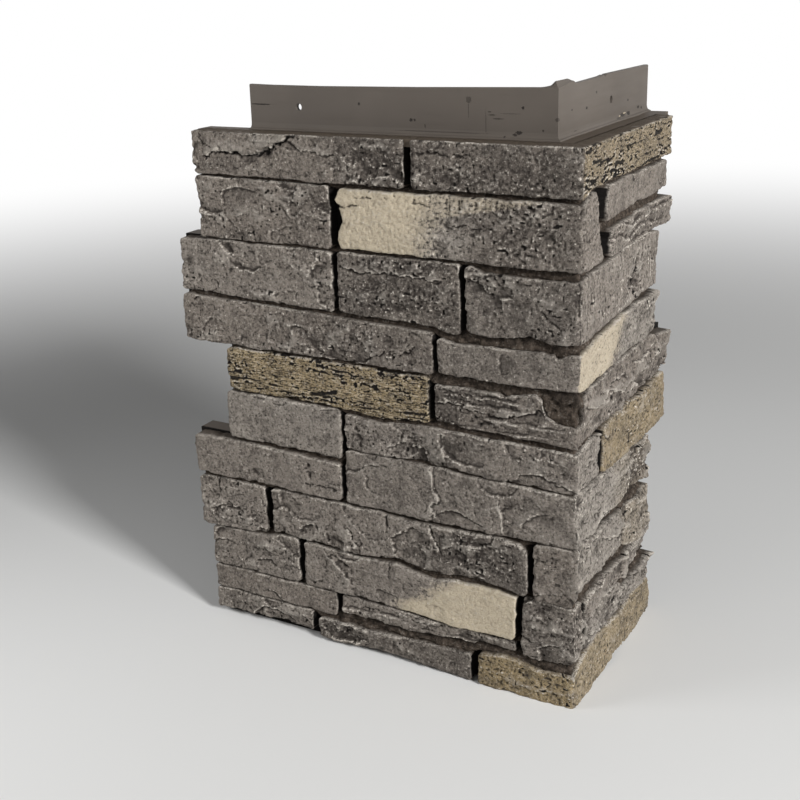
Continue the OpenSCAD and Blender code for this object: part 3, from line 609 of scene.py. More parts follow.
def stone_block(layout, number):
    """One split stone: its outline follows the bed joints with ragged, rounded corners, and its face stands
    out by the split face's height less a broken edge that falls away towards the outline."""
    below, above, start, stop, gap_low, gap_high, proud, *kinds = STONES[number]
    seed = 100 + number * 61
    begin = float(layout.along(start)) + (0 if start <= FREE_FRONT else layout.joint_w / 2)
    end = float(layout.along(stop)) - (0 if stop >= FREE_RETURN else layout.joint_w / 2)
    begin += sum(extra / 2 for before, after, extra in WIDE_JOINTS if after == number and (before, number) != (8, 9))
    end -= sum(extra / 2 for before, after, extra in WIDE_JOINTS if before == number)
    if begin < 0 < end:
        ahead, behind = max(3, round(-begin / layout.cell)), max(3, round(end / layout.cell))
        columns = np.concatenate([np.linspace(begin, 0, ahead + 1)[:-1], np.linspace(0, end, behind + 1)])
    else:
        columns = np.linspace(begin, end, max(6, round((end - begin) / layout.cell)) + 1)
    low, high = layout.stone_edges(number, columns)
    flat = np.zeros(columns.shape)
    low = low + 0.8 * layered_noise(columns / 16, flat, seed + 61) + 0.5 * layered_noise(columns / 4, flat, seed + 62, 3)
    if above == TOP_BED:
        high = high - 0.3 * ease(layered_noise(columns / 7, flat, seed + 63, 3), 0.1, 0.5)
    else:
        high = high + 0.8 * layered_noise(columns / 16, flat, seed + 64) + 0.5 * layered_noise(columns / 4, flat, seed + 65, 3)
    corner = 3.0
    nearness = np.clip(1 - np.minimum(columns - begin, end - columns) / corner, 0, 1)
    inset = corner * 0.7 * (1 - np.sqrt(1 - nearness**2))
    low, high = low + inset, high - inset * (0.2 if above == TOP_BED else 1)
    high = np.maximum(high, low + 6)
    rows = max(6, round(float(np.mean(high - low)) / layout.cell))
    t = np.arange(rows + 1) / rows
    z = low[:, None] + (high - low)[:, None] * t
    s = np.broadcast_to(columns[:, None], z.shape)
    left = 0.8 * layered_noise(z / 11, z * 0, seed + 66) + 0.5 * layered_noise(z / 3, z * 0, seed + 67) + bent(ENDS, number, "left", z)
    right = 0.8 * layered_noise(z / 11, z * 0, seed + 68) + 0.5 * layered_noise(z / 3, z * 0, seed + 69) + bent(ENDS, number, "right", z)
    wobble = left * np.clip(1 - (s - begin) / 24, 0, 1) + right * np.clip(1 - (end - s) / 24, 0, 1)
    cream = paint_mask(number, "cream", s + wobble, z)
    face = face_height(s + wobble, z, kinds[0], seed, cream)
    if len(kinds) == 2:
        other = face_height(s + wobble, z, kinds[1], seed, cream)
        face = [np.where(s > 0, new, old) for new, old in zip(other, face)]
    height, pits, brink = face
    height = np.clip(height - height.mean(), -4.5, 3.0)
    rim = np.minimum(np.minimum(z - low[:, None], high[:, None] - z), np.minimum(s - begin, end - s))
    broken = layout.edge_w * (0.42 + 0.3 * layered_noise(s / 5, z / 5, seed + 70, 3))
    broken = broken + 2.8 * ease(layered_noise(s / 9, z / 8, seed + 75, 3), 0.2, 0.55)
    nearness = np.clip(1 - rim / broken, 0, 1)
    drop = broken * 0.8 * (1 - np.sqrt(1 - 0.98 * nearness**2))
    arris = np.exp(-((s / 1.4) ** 2)) * (0.25 + 1.4 * ease(layered_noise(z / 7, z * 0, seed + 79, 3), 0.1, 0.6))
    flaws, steps_brink = marks(s + wobble, z)
    depth = -proud - height + drop + arris + flaws
    points, quads, tris, (over_ends, over_sides) = draped_block(
        layout, columns, low, high, depth, layout.joint_depth + 2, 0.6, wobble)
    inner = flaws - height
    reach = max(1, round(1.2 / layout.cell))
    shade = blurred(inner, reach) - inner
    crest = blurred(-height, reach) + height
    masks = {
        # relief: where a point lies below or above its close surroundings, for painted shade in small hollows and
        # painted highlights on small high spots
        "relief": np.clip(np.where(shade > 0, np.minimum(shade, crest) / 0.6, shade / 0.35), -1, 1),
        "rough": np.clip(rough_patches(s + wobble, z), 0, 1),
        "bedded": np.where(s > 0, 0.5 * (kinds[-1] == "pitted"), kinds[0] == "pitted"),
        # low: where a point lies below or above its broad surroundings, for painted shade and painted light
        "low": np.clip((blurred(inner, reach * 8) - inner) / 2.0, -1, 1),
        # rim: the upper edges, and fainter the ends, for a painted highlight with dry-brush paint
        "rim": np.maximum(np.clip(1 - (high[:, None] - z) / 1.5, 0, 1), 0.6 * np.clip(1 - rim / 1.2, 0, 1) * (z > low[:, None] + 2)),
        # pit: pits, and cracks and hollows deeper than 1.3 mm, for painted shade
        "pit": np.maximum(pits, 0.9 * ease(flaws, 1.3, 2.4) * (rim > 1.5)),
        # brink: the brinks of steps and flake scars, for a painted highlight
        "brink": np.maximum(brink, steps_brink) * ease(rim, 0.5, 2.5),
        "tone": np.full(s.shape, lattice(np.array([number]), np.array([3]), 5)[0]),
    }
    for colour in ("cream", "tan", "dark", "light"):
        masks[colour] = paint_mask(number, colour, s + wobble, z)
    steps = (over_ends.shape[0] - s.shape[0]) // 2
    i = np.clip(np.arange(over_ends.shape[0]) - steps, 0, s.shape[0] - 1)
    j = np.clip(np.arange(over_sides.shape[1]) - steps, 0, s.shape[1] - 1)
    spread = {label: values[np.ix_(i, j)].ravel() for label, values in masks.items()}
    jointed = np.where(np.arange(over_ends.shape[0]) < over_ends.shape[0] / 2, start > FREE_FRONT, stop < FREE_RETURN)
    on_top = (above == TOP_BED) & (np.arange(over_sides.shape[1]) > over_sides.shape[1] / 2)
    full = np.zeros((over_ends.shape[0], over_sides.shape[1]))
    spread["joint"] = (full + over_ends * jointed[:, None]).ravel()
    spread["deep"] = (full + np.maximum(over_ends * ~jointed[:, None], over_sides * ~on_top[None, :])).ravel()
    spread["ledge"] = (full + over_sides * on_top[None, :]).ravel()
    return points, quads, tris, spread


def paint_mask(number, colour, s, z):
    """How much of a colour covers a stone: 1 inside its stretch, fading out past both ends. Where the stretch
    leans, its ends move along the face with the height above the stone's middle."""
    mask = np.zeros(s.shape)
    for stone, kind, strength, start, stop, fade_in, fade_out, lean_in, lean_out in PAINT:
        if stone == number and kind == colour:
            ragged = layered_noise(s / 14, z / 9, 90 + stone, 3)
            rise = z - z.mean()
            begun = ease(s - lean_in * rise + ragged * fade_in / 3, start - fade_in / 2, start + fade_in / 2)
            ended = ease(s - lean_out * rise + 6 * ragged, stop - fade_out / 2, stop + fade_out / 2)
            mask = np.maximum(mask, strength * begun * (1 - ended))
    return mask


def spread_out(field, steps=5):
    """A face's grid of values carried out over the sides of its block."""
    return np.pad(field, steps, mode="edge")


def join_blocks(blocks):
    """Puts the points, faces and masks of several blocks one after another."""
    points, quads, tris, masks, count = [], [], [], {}, 0
    for block in blocks:
        points.append(block[0])
        quads.append(block[1] + count)
        tris.append(block[2] + count)
        for label, values in block[3].items():
            masks.setdefault(label, []).append(values)
        count += len(block[0])
    joined = {label: np.concatenate(values) for label, values in masks.items()}
    return np.concatenate(points), np.concatenate(quads), np.concatenate(tris), joined


def bed_strip(layout, index, start, stop):
    """The rough recessed strip that fills one bed joint, from just below the top of the stones under it to just
    above the foot of the stones over it. It slopes back upwards, so that it shows as a ledge from above."""
    seed = 900 + index * 31
    begin, end = float(layout.along(start)), float(layout.along(stop))
    cell = layout.cell * 1.6
    columns = np.linspace(begin, end, max(6, round((end - begin) / cell)) + 1)
    middle = layout.bed(index, layout.pattern_place(columns))
    low, high = middle - 1, middle + 1
    for number, stone in enumerate(STONES):
        inside = (columns > float(layout.along(stone[2])) - 3) & (columns < float(layout.along(stone[3])) + 3)
        foot, top = layout.stone_edges(number, columns)
        low = np.where(inside & (stone[1] == index), top, low)
        high = np.where(inside & (stone[0] == index), foot, high)
    reach = 3
    low, high = blurred(low[:, None] + np.zeros((1, 2)), reach)[:, 0], blurred(high[:, None] + np.zeros((1, 2)), reach)[:, 0]
    low, high = low - 3, high + 3
    rows = max(6, round(float(np.mean(high - low)) / cell))
    t = np.arange(rows + 1) / rows
    z = low[:, None] + (high - low)[:, None] * t
    s = np.broadcast_to(columns[:, None], z.shape)
    above = (z - low[:, None] - 3) / np.maximum(high - low - 6, 1)[:, None]
    wide = ease((high - low)[:, None] - 6, 4, 12)
    broken = facets(s / 12, z / 5, seed + 5, 2.4, 1.5) + 0.5 * facets(s / 4, z / 2.5, seed + 8, 2.0, 1.5)
    depth = 3.6 + 3.2 * ease(above, -0.2, 1.3) - 0.8 * layered_noise(s / 16, z / 4, seed)
    depth = depth - 0.6 * layered_noise(s / 3, z / 2, seed + 3) - 4.5 * wide * broken
    depth = np.maximum(depth, 1.5) + 6 * ease(np.maximum(low[:, None] + 3 - z, z - high[:, None] + 3), 0.0, 2.0)
    depth = depth + 1.5 * ease(np.maximum(begin + 6 - s, s - end + 6), 0, 6)
    points, quads, tris, (over_ends, over_sides) = draped_block(
        layout, columns, low, high, depth, layout.joint_depth + 2, 0.3, np.zeros(s.shape))
    # The above mask, how far up the strip a point is, sets the painted shade under the stones above
    return points, quads, tris, {"deep": np.maximum(over_ends, over_sides).ravel(), "above": spread_out(ease(above, 0.3, 1.2)).ravel()}


def prism(name, outline, way, low, high):
    """A closed prism: the outline's points in the plane across way (0 = X, 1 = Y, 2 = Z), from low to high."""
    count = len(outline)
    first, second = [axis for axis in (0, 1, 2) if axis != way]
    points = np.zeros((2 * count, 3))
    points[:, first] = [p[0] for p in outline] * 2
    points[:, second] = [p[1] for p in outline] * 2
    points[:count, way], points[count:, way] = low, high
    sides = [(i, (i + 1) % count, (i + 1) % count + count, i + count) for i in range(count)]
    mesh = bpy.data.meshes.new(name)
    mesh.from_pydata((points * MM).tolist(), [], [list(range(count))[::-1], list(range(count, 2 * count))] + sides)
    turn_outwards(mesh)
    return mesh


def turn_outwards(mesh):
    """Recalculates a closed mesh's faces so that they point outwards."""
    import bmesh

    work = bmesh.new()
    work.from_mesh(mesh)
    bmesh.ops.recalc_face_normals(work, faces=work.faces)
    work.to_mesh(mesh)
    work.free()


def combined(base, others, operation):
    """The base mesh joined with, or cut by, the other meshes with exact booleans."""
    holders = [bpy.data.objects.new("work", mesh) for mesh in [base] + others]
    for holder in holders:
        bpy.context.scene.collection.objects.link(holder)
    for other in holders[1:]:
        step = holders[0].modifiers.new("join", "BOOLEAN")
        step.operation, step.solver, step.object = operation, "EXACT", other
    graph = bpy.context.evaluated_depsgraph_get()
    result = bpy.data.meshes.new_from_object(holders[0].evaluated_get(graph))
    for holder in holders:
        bpy.data.objects.remove(holder)
    return result


def stepped_outline(layout, which, inner):
    """Outline of one wing's backing, stepped where its courses end: which is 2 for the front, 3 the return."""
    sign = -1 if which == 2 else 1
    points = [(inner, 0.0)]
    for course in COURSES:
        end = float(layout.along(course[which])) + 2 * sign
        low = 0.0 if course[0] == FOOT_BED else float(layout.bed(course[0], course[which]))
        points += [(end, low), (end, float(layout.bed(course[1], course[which])))]
    return points + [(inner, layout.face_h)]


def backing_mesh(layout):
    """Two stepped plates and the ledge's slab joined, with the lapping recess cut behind the foot."""
    floor_x, floor_y = layout.return_t - layout.joint_depth, -layout.front_t + layout.joint_depth
    front = [(x + layout.return_t, z) for x, z in stepped_outline(layout, 2, -layout.joint_depth)]
    back = [(y - layout.front_t, z) for y, z in stepped_outline(layout, 3, layout.joint_depth)]
    left = layout.return_t + float(layout.along(COURSES[-1][2]))
    far = -layout.front_t + float(layout.along(COURSES[-1][3]))
    rim = 2.5
    ledge = [
        (left, 0), (left, rim - layout.front_t), (layout.return_t - rim, rim - layout.front_t),
        (layout.return_t - rim, far - 20), (floor_x - layout.flange_t, far), (0, far), (0, 0),
    ]
    lap_t, lap_h = layout.flange_t + layout.lap_gap, layout.flange_h + layout.lap_gap
    recess = [(-400, -lap_t), (lap_t, -lap_t), (lap_t, 300), (-400, 300)]
    body = combined(
        prism("front", front, 1, floor_y, 0),
        [prism("return", back, 0, 0, floor_x), prism("ledge", ledge, 2, layout.face_h - 5, layout.face_h)],
        "UNION",
    )
    return combined(body, [prism("recess", recess, 2, -9, lap_h)], "DIFFERENCE")


def flange_top(u):
    """Height of the flange's top edge above the ledge at places along it, outside and inside: a long sag on
    the front wing, a raised flash at the corner and a small nick in the return."""
    outer = np.interp(u, [-260, -216, -176, -100, -40, 0, 26, 32, 76, 82, 84, 88, 168],
                      [31.5, 30.5, 30.3, 31.0, 32.2, 32.5, 34.7, 32.5, 33.0, 33.5, 32.2, 33.6, 33.2])
    inner = np.interp(u, [-260, -216, -176, -100, -12, -5, 0, 24, 32, 76, 82, 84, 88, 168],
                      [31.5, 30.5, 30.3, 31.0, 32.4, 33.6, 36.2, 36.0, 32.5, 33.0, 33.5, 32.2, 33.6, 33.2])
    return outer, inner


def flange_mesh(layout):
    """The nailing flange: a section of fillet, face, rounded top and back, carried along both wings with a
    mitre at the corner, and drilled for its two nails."""
    ahead = layout.flange_front - layout.return_t + layout.flange_t
    behind = layout.flange_return - layout.front_t + layout.flange_t
    u = np.concatenate([np.linspace(-ahead, -3, round(ahead / 2)), [-1.2, -0.4, 0, 0.4, 1.2],
                        np.linspace(3, behind, round(behind / 2))])
    outer, inner = flange_top(u)
    foot = 1.0 + 0.25 * noise(u / 20, u * 0, 7)
    t = layout.flange_t
    zero = np.zeros(u.shape)
    section = [
        (-3.0 * foot, zero - 1.0), (-2.9 * foot, zero + 0.3), (-2.3 * foot, zero + 0.9), (-1.5 * foot, zero + 1.1),
        (-0.9 * foot, zero + 1.5), (-0.3 * foot, zero + 2.6), (zero, zero + 4.5), (zero, outer * 0.4),
        (zero, outer * 0.6), (zero, outer * 0.8), (zero, outer - 0.7), (zero + 0.2, outer - 0.2),
        (zero + 0.7, outer), (zero + t - 0.7, inner), (zero + t - 0.2, inner - 0.2), (zero + t, inner - 0.7),
        (zero + t, inner * 0.7), (zero + t, inner * 0.35), (zero + t, zero - 1.0),
    ]
    inwards = np.stack([np.broadcast_to(p[0], u.shape) for p in section], 1)
    height = np.stack([np.broadcast_to(p[1], u.shape) for p in section], 1) + layout.face_h
    bow = 0.5 * np.sin(u / 60)[:, None] * (height - layout.face_h) / layout.flange_h
    inwards = inwards + bow * np.minimum(np.abs(u) / 40, 1)[:, None]
    place = u[:, None]
    fan = np.clip(1 - np.abs(place) / 8, 0, 1)
    front = place <= 0
    x = np.where(front, layout.flange_t + place - inwards * fan, layout.flange_t - inwards)
    y = np.where(front, -layout.flange_t + inwards, -layout.flange_t + place + inwards * fan)
    points = np.stack([x, y, height], -1)
    rows, across = points.shape[:2]
    faces = grid_faces(rows, across).tolist()
    under = [[(a + 1) * across, a * across, a * across + across - 1, (a + 1) * across + across - 1] for a in range(rows - 1)]
    first = list(range(across))
    last = [(rows - 1) * across + k for k in range(across)][::-1]
    mesh = bpy.data.meshes.new("flange")
    mesh.from_pydata((points.reshape(-1, 3) * MM).tolist(), [], faces + under + [first, last])
    turn_outwards(mesh)
    drills = [nail_drill(layout, MOUNTS["front_nail_hole"]), nail_drill(layout, MOUNTS["return_nail_hole"])]
    return combined(mesh, drills, "DIFFERENCE")


def nail_drill(layout, mount):
    """A round bar on a nail hole's axis, longer than the flange is thick."""
    radius, turns = mount["dims"]["r_mm"], 40
    way = 1 if abs(mount["axis"][1]) > 0.5 else 0
    first, second = [axis for axis in (0, 1, 2) if axis != way]
    angle = np.arange(turns) * 2 * math.pi / turns
    centre = np.array(mount["pos_m"]) / MM
    outline = list(zip(centre[first] + radius * np.cos(angle), centre[second] + radius * np.sin(angle)))
    return prism("drill", outline, way, centre[way] - 8, centre[way] + 8)


class Value:
    """A shader socket that carries numbers: arithmetic on it adds Math nodes."""

    def __init__(self, shader, socket):
        self.shader, self.socket = shader, socket

    def maths(self, operation, *values):
        node = self.shader.node("ShaderNodeMath", {"operation": operation}, dict(enumerate(values)))
        return Value(self.shader, node.outputs[0])

    def __add__(self, other):
        return self.maths("ADD", self, other)

    def __mul__(self, other):
        return self.maths("MULTIPLY", self, other)

    def __sub__(self, other):
        return self.maths("SUBTRACT", self, other)

    def __rsub__(self, other):
        return self.maths("SUBTRACT", other, self)

    __radd__ = __add__
    __rmul__ = __mul__

    def between(self, low, high, start=0.0, stop=1.0):
        """Smooth step of this value from start at low to stop at high."""
        node = self.shader.node("ShaderNodeMapRange", {"interpolation_type": "SMOOTHSTEP"},
                                {0: self, 1: low, 2: high, 3: start, 4: stop})
        return Value(self.shader, node.outputs[0])


class Shader:
    """A material made from code: one Principled BSDF, and nodes added through the node method."""

    def __init__(self, name):
        self.material = bpy.data.materials.new(name)
        self.material.use_nodes = True
        self.tree = self.material.node_tree
        self.surface = self.tree.nodes["Principled BSDF"]
        self.place = self.node("ShaderNodeTexCoord").outputs["Object"]

    def node(self, kind, settings=None, inputs=None):
        """A node of a kind, with its settings and then the values or links of its sockets."""
        node = self.tree.nodes.new(kind)
        for name, value in (settings or {}).items():
            setattr(node, name, value)
        for key, value in (inputs or {}).items():
            self.feed(node.inputs[key], value)
        return node

    def feed(self, socket, value):
        """Links a socket to another, or sets its own value."""
        if isinstance(value, Value):
            value = value.socket
        if isinstance(value, bpy.types.NodeSocket):
            self.tree.links.new(value, socket)
        else:
            socket.default_value = value

    def mask(self, name):
        """Values of an attribute on the mesh's points."""
        return Value(self, self.node("ShaderNodeAttribute", {"attribute_name": name}).outputs["Fac"])

    def grain(self, scale, detail=3.0, rough=0.5, squash=(1, 1, 1), kind="ShaderNodeTexNoise"):
        """Noise from 0 to 1 on the panel's own coordinates; squash stretches it along an axis."""
        place = self.node("ShaderNodeMapping", None, {"Vector": self.place, "Scale": squash}).outputs[0]
        node = self.node(kind, None, {"Vector": place, "Scale": scale, "Detail": detail, "Roughness": rough})
        return Value(self, node.outputs[0])

    def spot(self, centre, half, ragged):
        """1 inside a ragged ellipsoid with this centre and these half sizes in millimetres, 0 outside."""
        away = self.node("ShaderNodeVectorMath", {"operation": "SUBTRACT"}, {0: self.place, 1: [v * MM for v in centre]})
        scaled = self.node("ShaderNodeVectorMath", {"operation": "DIVIDE"}, {0: away.outputs[0], 1: [v * MM for v in half]})
        length = self.node("ShaderNodeVectorMath", {"operation": "LENGTH"}, {0: scaled.outputs[0]}).outputs["Value"]
        return (Value(self, length) + ragged).between(1.2, 0.8)

    def blend(self, mask, under, over, how="MIX"):
        """Colour over laid on colour under where mask is 1."""
        node = self.node("ShaderNodeMix", {"data_type": "RGBA", "blend_type": how}, {0: mask, 6: under, 7: over})
        return node.outputs[2]

    def bump(self, height, strength, distance):
        """Small relief in the surface's normal, distance in metres."""
        node = self.node("ShaderNodeBump", None, {"Height": height, "Strength": strength, "Distance": distance})
        self.feed(self.surface.inputs["Normal"], node.outputs[0])

    def finish(self, colour, roughness):
        """Feeds the colour and roughness to the surface."""
        self.feed(self.surface.inputs["Base Color"], colour)
        self.feed(self.surface.inputs["Roughness"], roughness)
        self.surface.inputs["Specular IOR Level"].default_value = 0.12
        return self.material


def tinted(colour, factor):
    """A colour times a factor, opaque."""
    return (colour[0] * factor, colour[1] * factor, colour[2] * factor, 1.0)


def stone_material(colours):
    """Coated stone: mottled grey, cream and tan stretches, painted shade in hollows, low areas, pits and cracks, and
    pale dry-brushed high spots with painted highlights on them, on brinks and on the upper edges.
    """
    shader = Shader("coated_stone")
    relief, deep, low, rim = (shader.mask(name) for name in ("relief", "deep", "low", "rim"))
    joint, ledge = shader.mask("joint"), shader.mask("ledge")
    broad, middle = shader.grain(30, 3, 0.6), shader.grain(110, 5, 0.7)
    fine, speck = shader.grain(520, 4, 0.75), shader.grain(1100, 2, 0.6)
    fleck = shader.grain(760, 2, 0.6, (1.0, 1.0, 0.7))
    grey = shader.blend(shader.mask("tone").between(0, 1, 0.0, 0.6), tinted(colours.grey, 1.05), tinted(colours.brown, 1.0))
    grey = shader.blend(broad.between(0.35, 0.65, 0.0, 0.35), grey, tinted(colours.brown, 0.9))
    dark = shader.mask("dark") * (middle + broad).between(1.15, 0.85, 0.5, 1.2)
    grey = shader.blend(dark, grey, tinted(colours.joint, 2.0))
    grey = shader.blend(shader.mask("light"), grey, tinted(colours.dry_brush_and_highlight, 0.8))
    tan = shader.blend(broad.between(0.3, 0.7), tinted(colours.tan, 0.8), tinted(colours.tan, 1.1))
    colour = shader.blend(shader.mask("tan") * fine.between(0.2, 0.5, 0.8, 1.0), grey, tan)
    cream = shader.blend(fine.between(0.3, 0.7), tinted(colours.cream, 0.88), tinted(colours.cream, 1.06))
    cream_mask = (shader.mask("cream") * 1.5 + (fine - 0.5) * 2.2 + relief * 0.25).between(0.45, 1.0)
    cream_mask = cream_mask * shader.mask("cream").between(0.6, 1.0, 0.6, 1.0)
    colour = shader.blend(cream_mask, colour, cream)
    plain = 1.0 - cream_mask * 0.75
    stain = middle.between(0.54, 0.36, 0.0, 0.5) + shader.mask("rough") * broad.between(0.35, 0.6, 0.1, 0.45)
    colour = shader.blend(stain * plain, colour, tinted(colours.joint, 2.5))
    streak, bedded = shader.grain(460, 4, 0.75, (0.4, 0.4, 2.6)), shader.mask("bedded")
    colour = shader.blend(streak.between(0.53, 0.64, 0.0, 0.9) * bedded, colour, tinted(colours.cream, 0.95))
    colour = shader.blend(streak.between(0.48, 0.40, 0.0, 0.9) * bedded, colour, tinted(colours.joint, 1.2))
    colour = shader.blend(fine.between(0.48, 0.36, 0.0, 0.85) * plain, colour, tinted(colours.joint, 1.5))
    colour = shader.blend(fine.between(0.54, 0.66, 0.0, 0.6), colour, tinted(colours.dry_brush_and_highlight, 1.0))
    # Painted shade in the small hollows
    colour = shader.blend(relief.between(-0.2, -0.9, 0.0, 0.82) * plain, colour, tinted(colours.joint, 1.2))
    # Dry-brush paint and painted highlights on the small high spots
    pale = relief.between(0.35, 1.0) * speck.between(0.42, 0.58) * 0.85
    colour = shader.blend(pale, colour, tinted(colours.dry_brush_and_highlight, 1.5))
    # Pale flecks: dry-brush paint and painted glints
    flash = (relief * 0.2 + fleck + middle * 0.25).between(0.81, 0.92, 0.0, 0.8)
    colour = shader.blend(flash, colour, tinted(colours.dry_brush_and_highlight, 1.8))
    # Painted highlight on the brinks of steps and flake scars
    brink = (shader.mask("brink") + (speck - 0.5) * 0.8 + (middle - 0.5) * 0.8).between(0.4, 0.9, 0.0, 0.6)
    colour = shader.blend(brink, colour, tinted(colours.dry_brush_and_highlight, 1.5))
    # Painted light on broad high areas and painted shade in broad low ones
    colour = shader.blend(low.between(0.1, 0.8, 0.0, 0.35), colour, tinted(colours.dry_brush_and_highlight, 1.0))
    colour = shader.blend(low.between(-0.1, -0.8, 0.0, 0.7), colour, tinted(colours.joint, 2.0))
    # Painted highlight with dry-brush paint along the stones' upper edges, fainter along their ends
    edge = rim.between(0.2, 0.9) * (fine * 0.6 + speck * 0.6 + middle * 0.4).between(0.72, 0.88)
    edge = edge * broad.between(0.42, 0.62, 0.25, 0.9)
    colour = shader.blend(edge, colour, tinted(colours.dry_brush_and_highlight, 1.5))
    pore = shader.grain(640, 2, 0.5, (0.75, 0.75, 1.5)).between(0.41, 0.36) * bedded.between(0.1, 0.4)
    colour = shader.blend(pore, colour, tinted(colours.joint, 0.6))
    # Painted shade in pits and deep cracks
    colour = shader.blend(shader.mask("pit").between(0.25, 0.6) * plain, colour, tinted(colours.joint, 0.5))
    colour = shader.blend(deep.between(0.05, 0.4, 0.0, 0.9), colour, tinted(colours.strip, 1.0))
    colour = shader.blend(ledge.between(0.0, 0.2), colour, tinted(colours.ledge, 1.0))
    colour = shader.blend(joint.between(0.02, 0.2), colour, tinted(colours.joint, 0.5))
    shader.bump(fine * 0.5 + speck * 0.2 + fleck * 0.3 + middle * 0.6, 1.0, 0.0014)
    return shader.finish(colour, relief.between(-0.5, 0.8, 0.85, 0.62))


def joint_material(colours):
    """Dark, rough coating in the bed joints, darker towards the strip's top as painted shade under the stones above.
    """
    shader = Shader("joint_coating")
    grain, fine = shader.grain(240, 5, 0.7), shader.grain(760, 2, 0.6)
    colour = shader.blend(grain.between(0.38, 0.62), tinted(colours.strip, 0.5), tinted(colours.strip, 1.5))
    colour = shader.blend((grain + fine).between(1.12, 1.25, 0.0, 0.6), colour, tinted(colours.dry_brush_and_highlight, 0.6))
    # Painted shade under the stones above: the strip darkens towards its top
    colour = shader.blend(shader.mask("above") * 0.75, colour, tinted(colours.joint, 1.0))
    colour = shader.blend(shader.mask("deep").between(0.0, 0.5), colour, tinted(colours.joint, 1.5))
    shader.bump(grain + fine * 0.3, 1.0, 0.0025)
    return shader.finish(colour, 0.9)


def joint_floor(shader, layout):
    """1 on the backing's outward faces, which are the floors of the joints, below the ledge's slab."""
    x, y, z = (Value(shader, socket) for socket in shader.node("ShaderNodeSeparateXYZ", None, {"Vector": shader.place}).outputs)
    front, back = layout.front_t - layout.joint_depth - 1, layout.return_t - layout.joint_depth - 1
    outward = (y * -1.0).between((front - 1) * MM, front * MM) + x.between((back - 1) * MM, back * MM)
    return outward.between(0.0, 1.0) * z.between((layout.face_h - 5) * MM, (layout.face_h - 6) * MM)


def moulding_material(name, base, colours, spots=(), layout=None):
    """Smooth moulded skin with faint flow marks, dark spots and pale painted highlights where listed and, with a
    layout, dark joints.
    """
    shader = Shader(name)
    cloud, streak = shader.grain(14, 3, 0.5), shader.grain(60, 4, 0.6, (0.3, 0.3, 2.5))
    colour = shader.blend(cloud.between(0.3, 0.7), tinted(base, 0.92), tinted(base, 1.07))
    colour = shader.blend(streak.between(0.55, 0.8, 0.0, 0.35), colour, tinted(base, 0.78))
    ragged, dents = (shader.grain(900, 2, 0.6) - 0.5) * 1.6, 0.0
    for centre, half, strength in spots:
        spot = shader.spot(centre, half, ragged)
        dents = spot * strength + dents
        # Dark spots, and pale ones in cream that are painted highlights
        colour = shader.blend(spot * abs(strength), colour, tinted(colours.joint if strength > 0 else colours.cream, 1.0))
    roughness = streak.between(0.2, 0.8, 0.5, 0.62)
    if layout:
        floor = joint_floor(shader, layout)
        colour = shader.blend(floor, colour, tinted(colours.joint, 0.4))
        roughness = roughness + floor * 0.4
    shader.bump(cloud * 0.15 + streak * 0.15 - dents, 0.5, 0.0008)
    return shader.finish(colour, roughness)


class PanelSizes(bpy.types.PropertyGroup):
    face_height: bpy.props.FloatProperty(name="Face height", description="Height of the stone face", default=0.394, unit="LENGTH")
    front_width: bpy.props.FloatProperty(name="Front width", description="Length of the longest front course", default=0.320, unit="LENGTH")
    return_width: bpy.props.FloatProperty(name="Return width", description="Length of the longest return course", default=0.195, unit="LENGTH")
    front_thickness: bpy.props.FloatProperty(name="Front thickness", description="From the wall to the front stones' face", default=0.025, unit="LENGTH")
    return_thickness: bpy.props.FloatProperty(name="Return thickness", description="From the wall to the return stones' face", default=0.030, unit="LENGTH")
    joint_depth: bpy.props.FloatProperty(name="Joint depth", description="Depth of the joints below the stone face", default=0.010, unit="LENGTH")
    joint_width: bpy.props.FloatProperty(name="Joint width", description="Width of an upright joint", default=0.004, unit="LENGTH")
    bed_width: bpy.props.FloatProperty(name="Bed width", description="Width of a tight bed joint", default=0.002, unit="LENGTH")
    edge_width: bpy.props.FloatProperty(name="Edge width", description="Width of the broken edge round a stone", default=0.0016, unit="LENGTH")
    flange_height: bpy.props.FloatProperty(name="Flange height", description="Height of the flange above the ledge", default=0.032, unit="LENGTH")
    flange_thickness: bpy.props.FloatProperty(name="Flange thickness", description="Thickness of the nailing flange", default=0.004, unit="LENGTH")
    flange_front: bpy.props.FloatProperty(name="Front flange", description="From the outer corner to the front flange's end", default=0.260, unit="LENGTH")
    flange_return: bpy.props.FloatProperty(name="Return flange", description="From the outer corner to the return flange's end", default=0.194, unit="LENGTH")
    lap_gap: bpy.props.FloatProperty(name="Lap clearance", description="Clearance round the flange of the panel below", default=0.001, unit="LENGTH")
    cell: bpy.props.FloatProperty(name="Fineness", description="Spacing of the points on a stone's face", default=0.0008, unit="LENGTH")


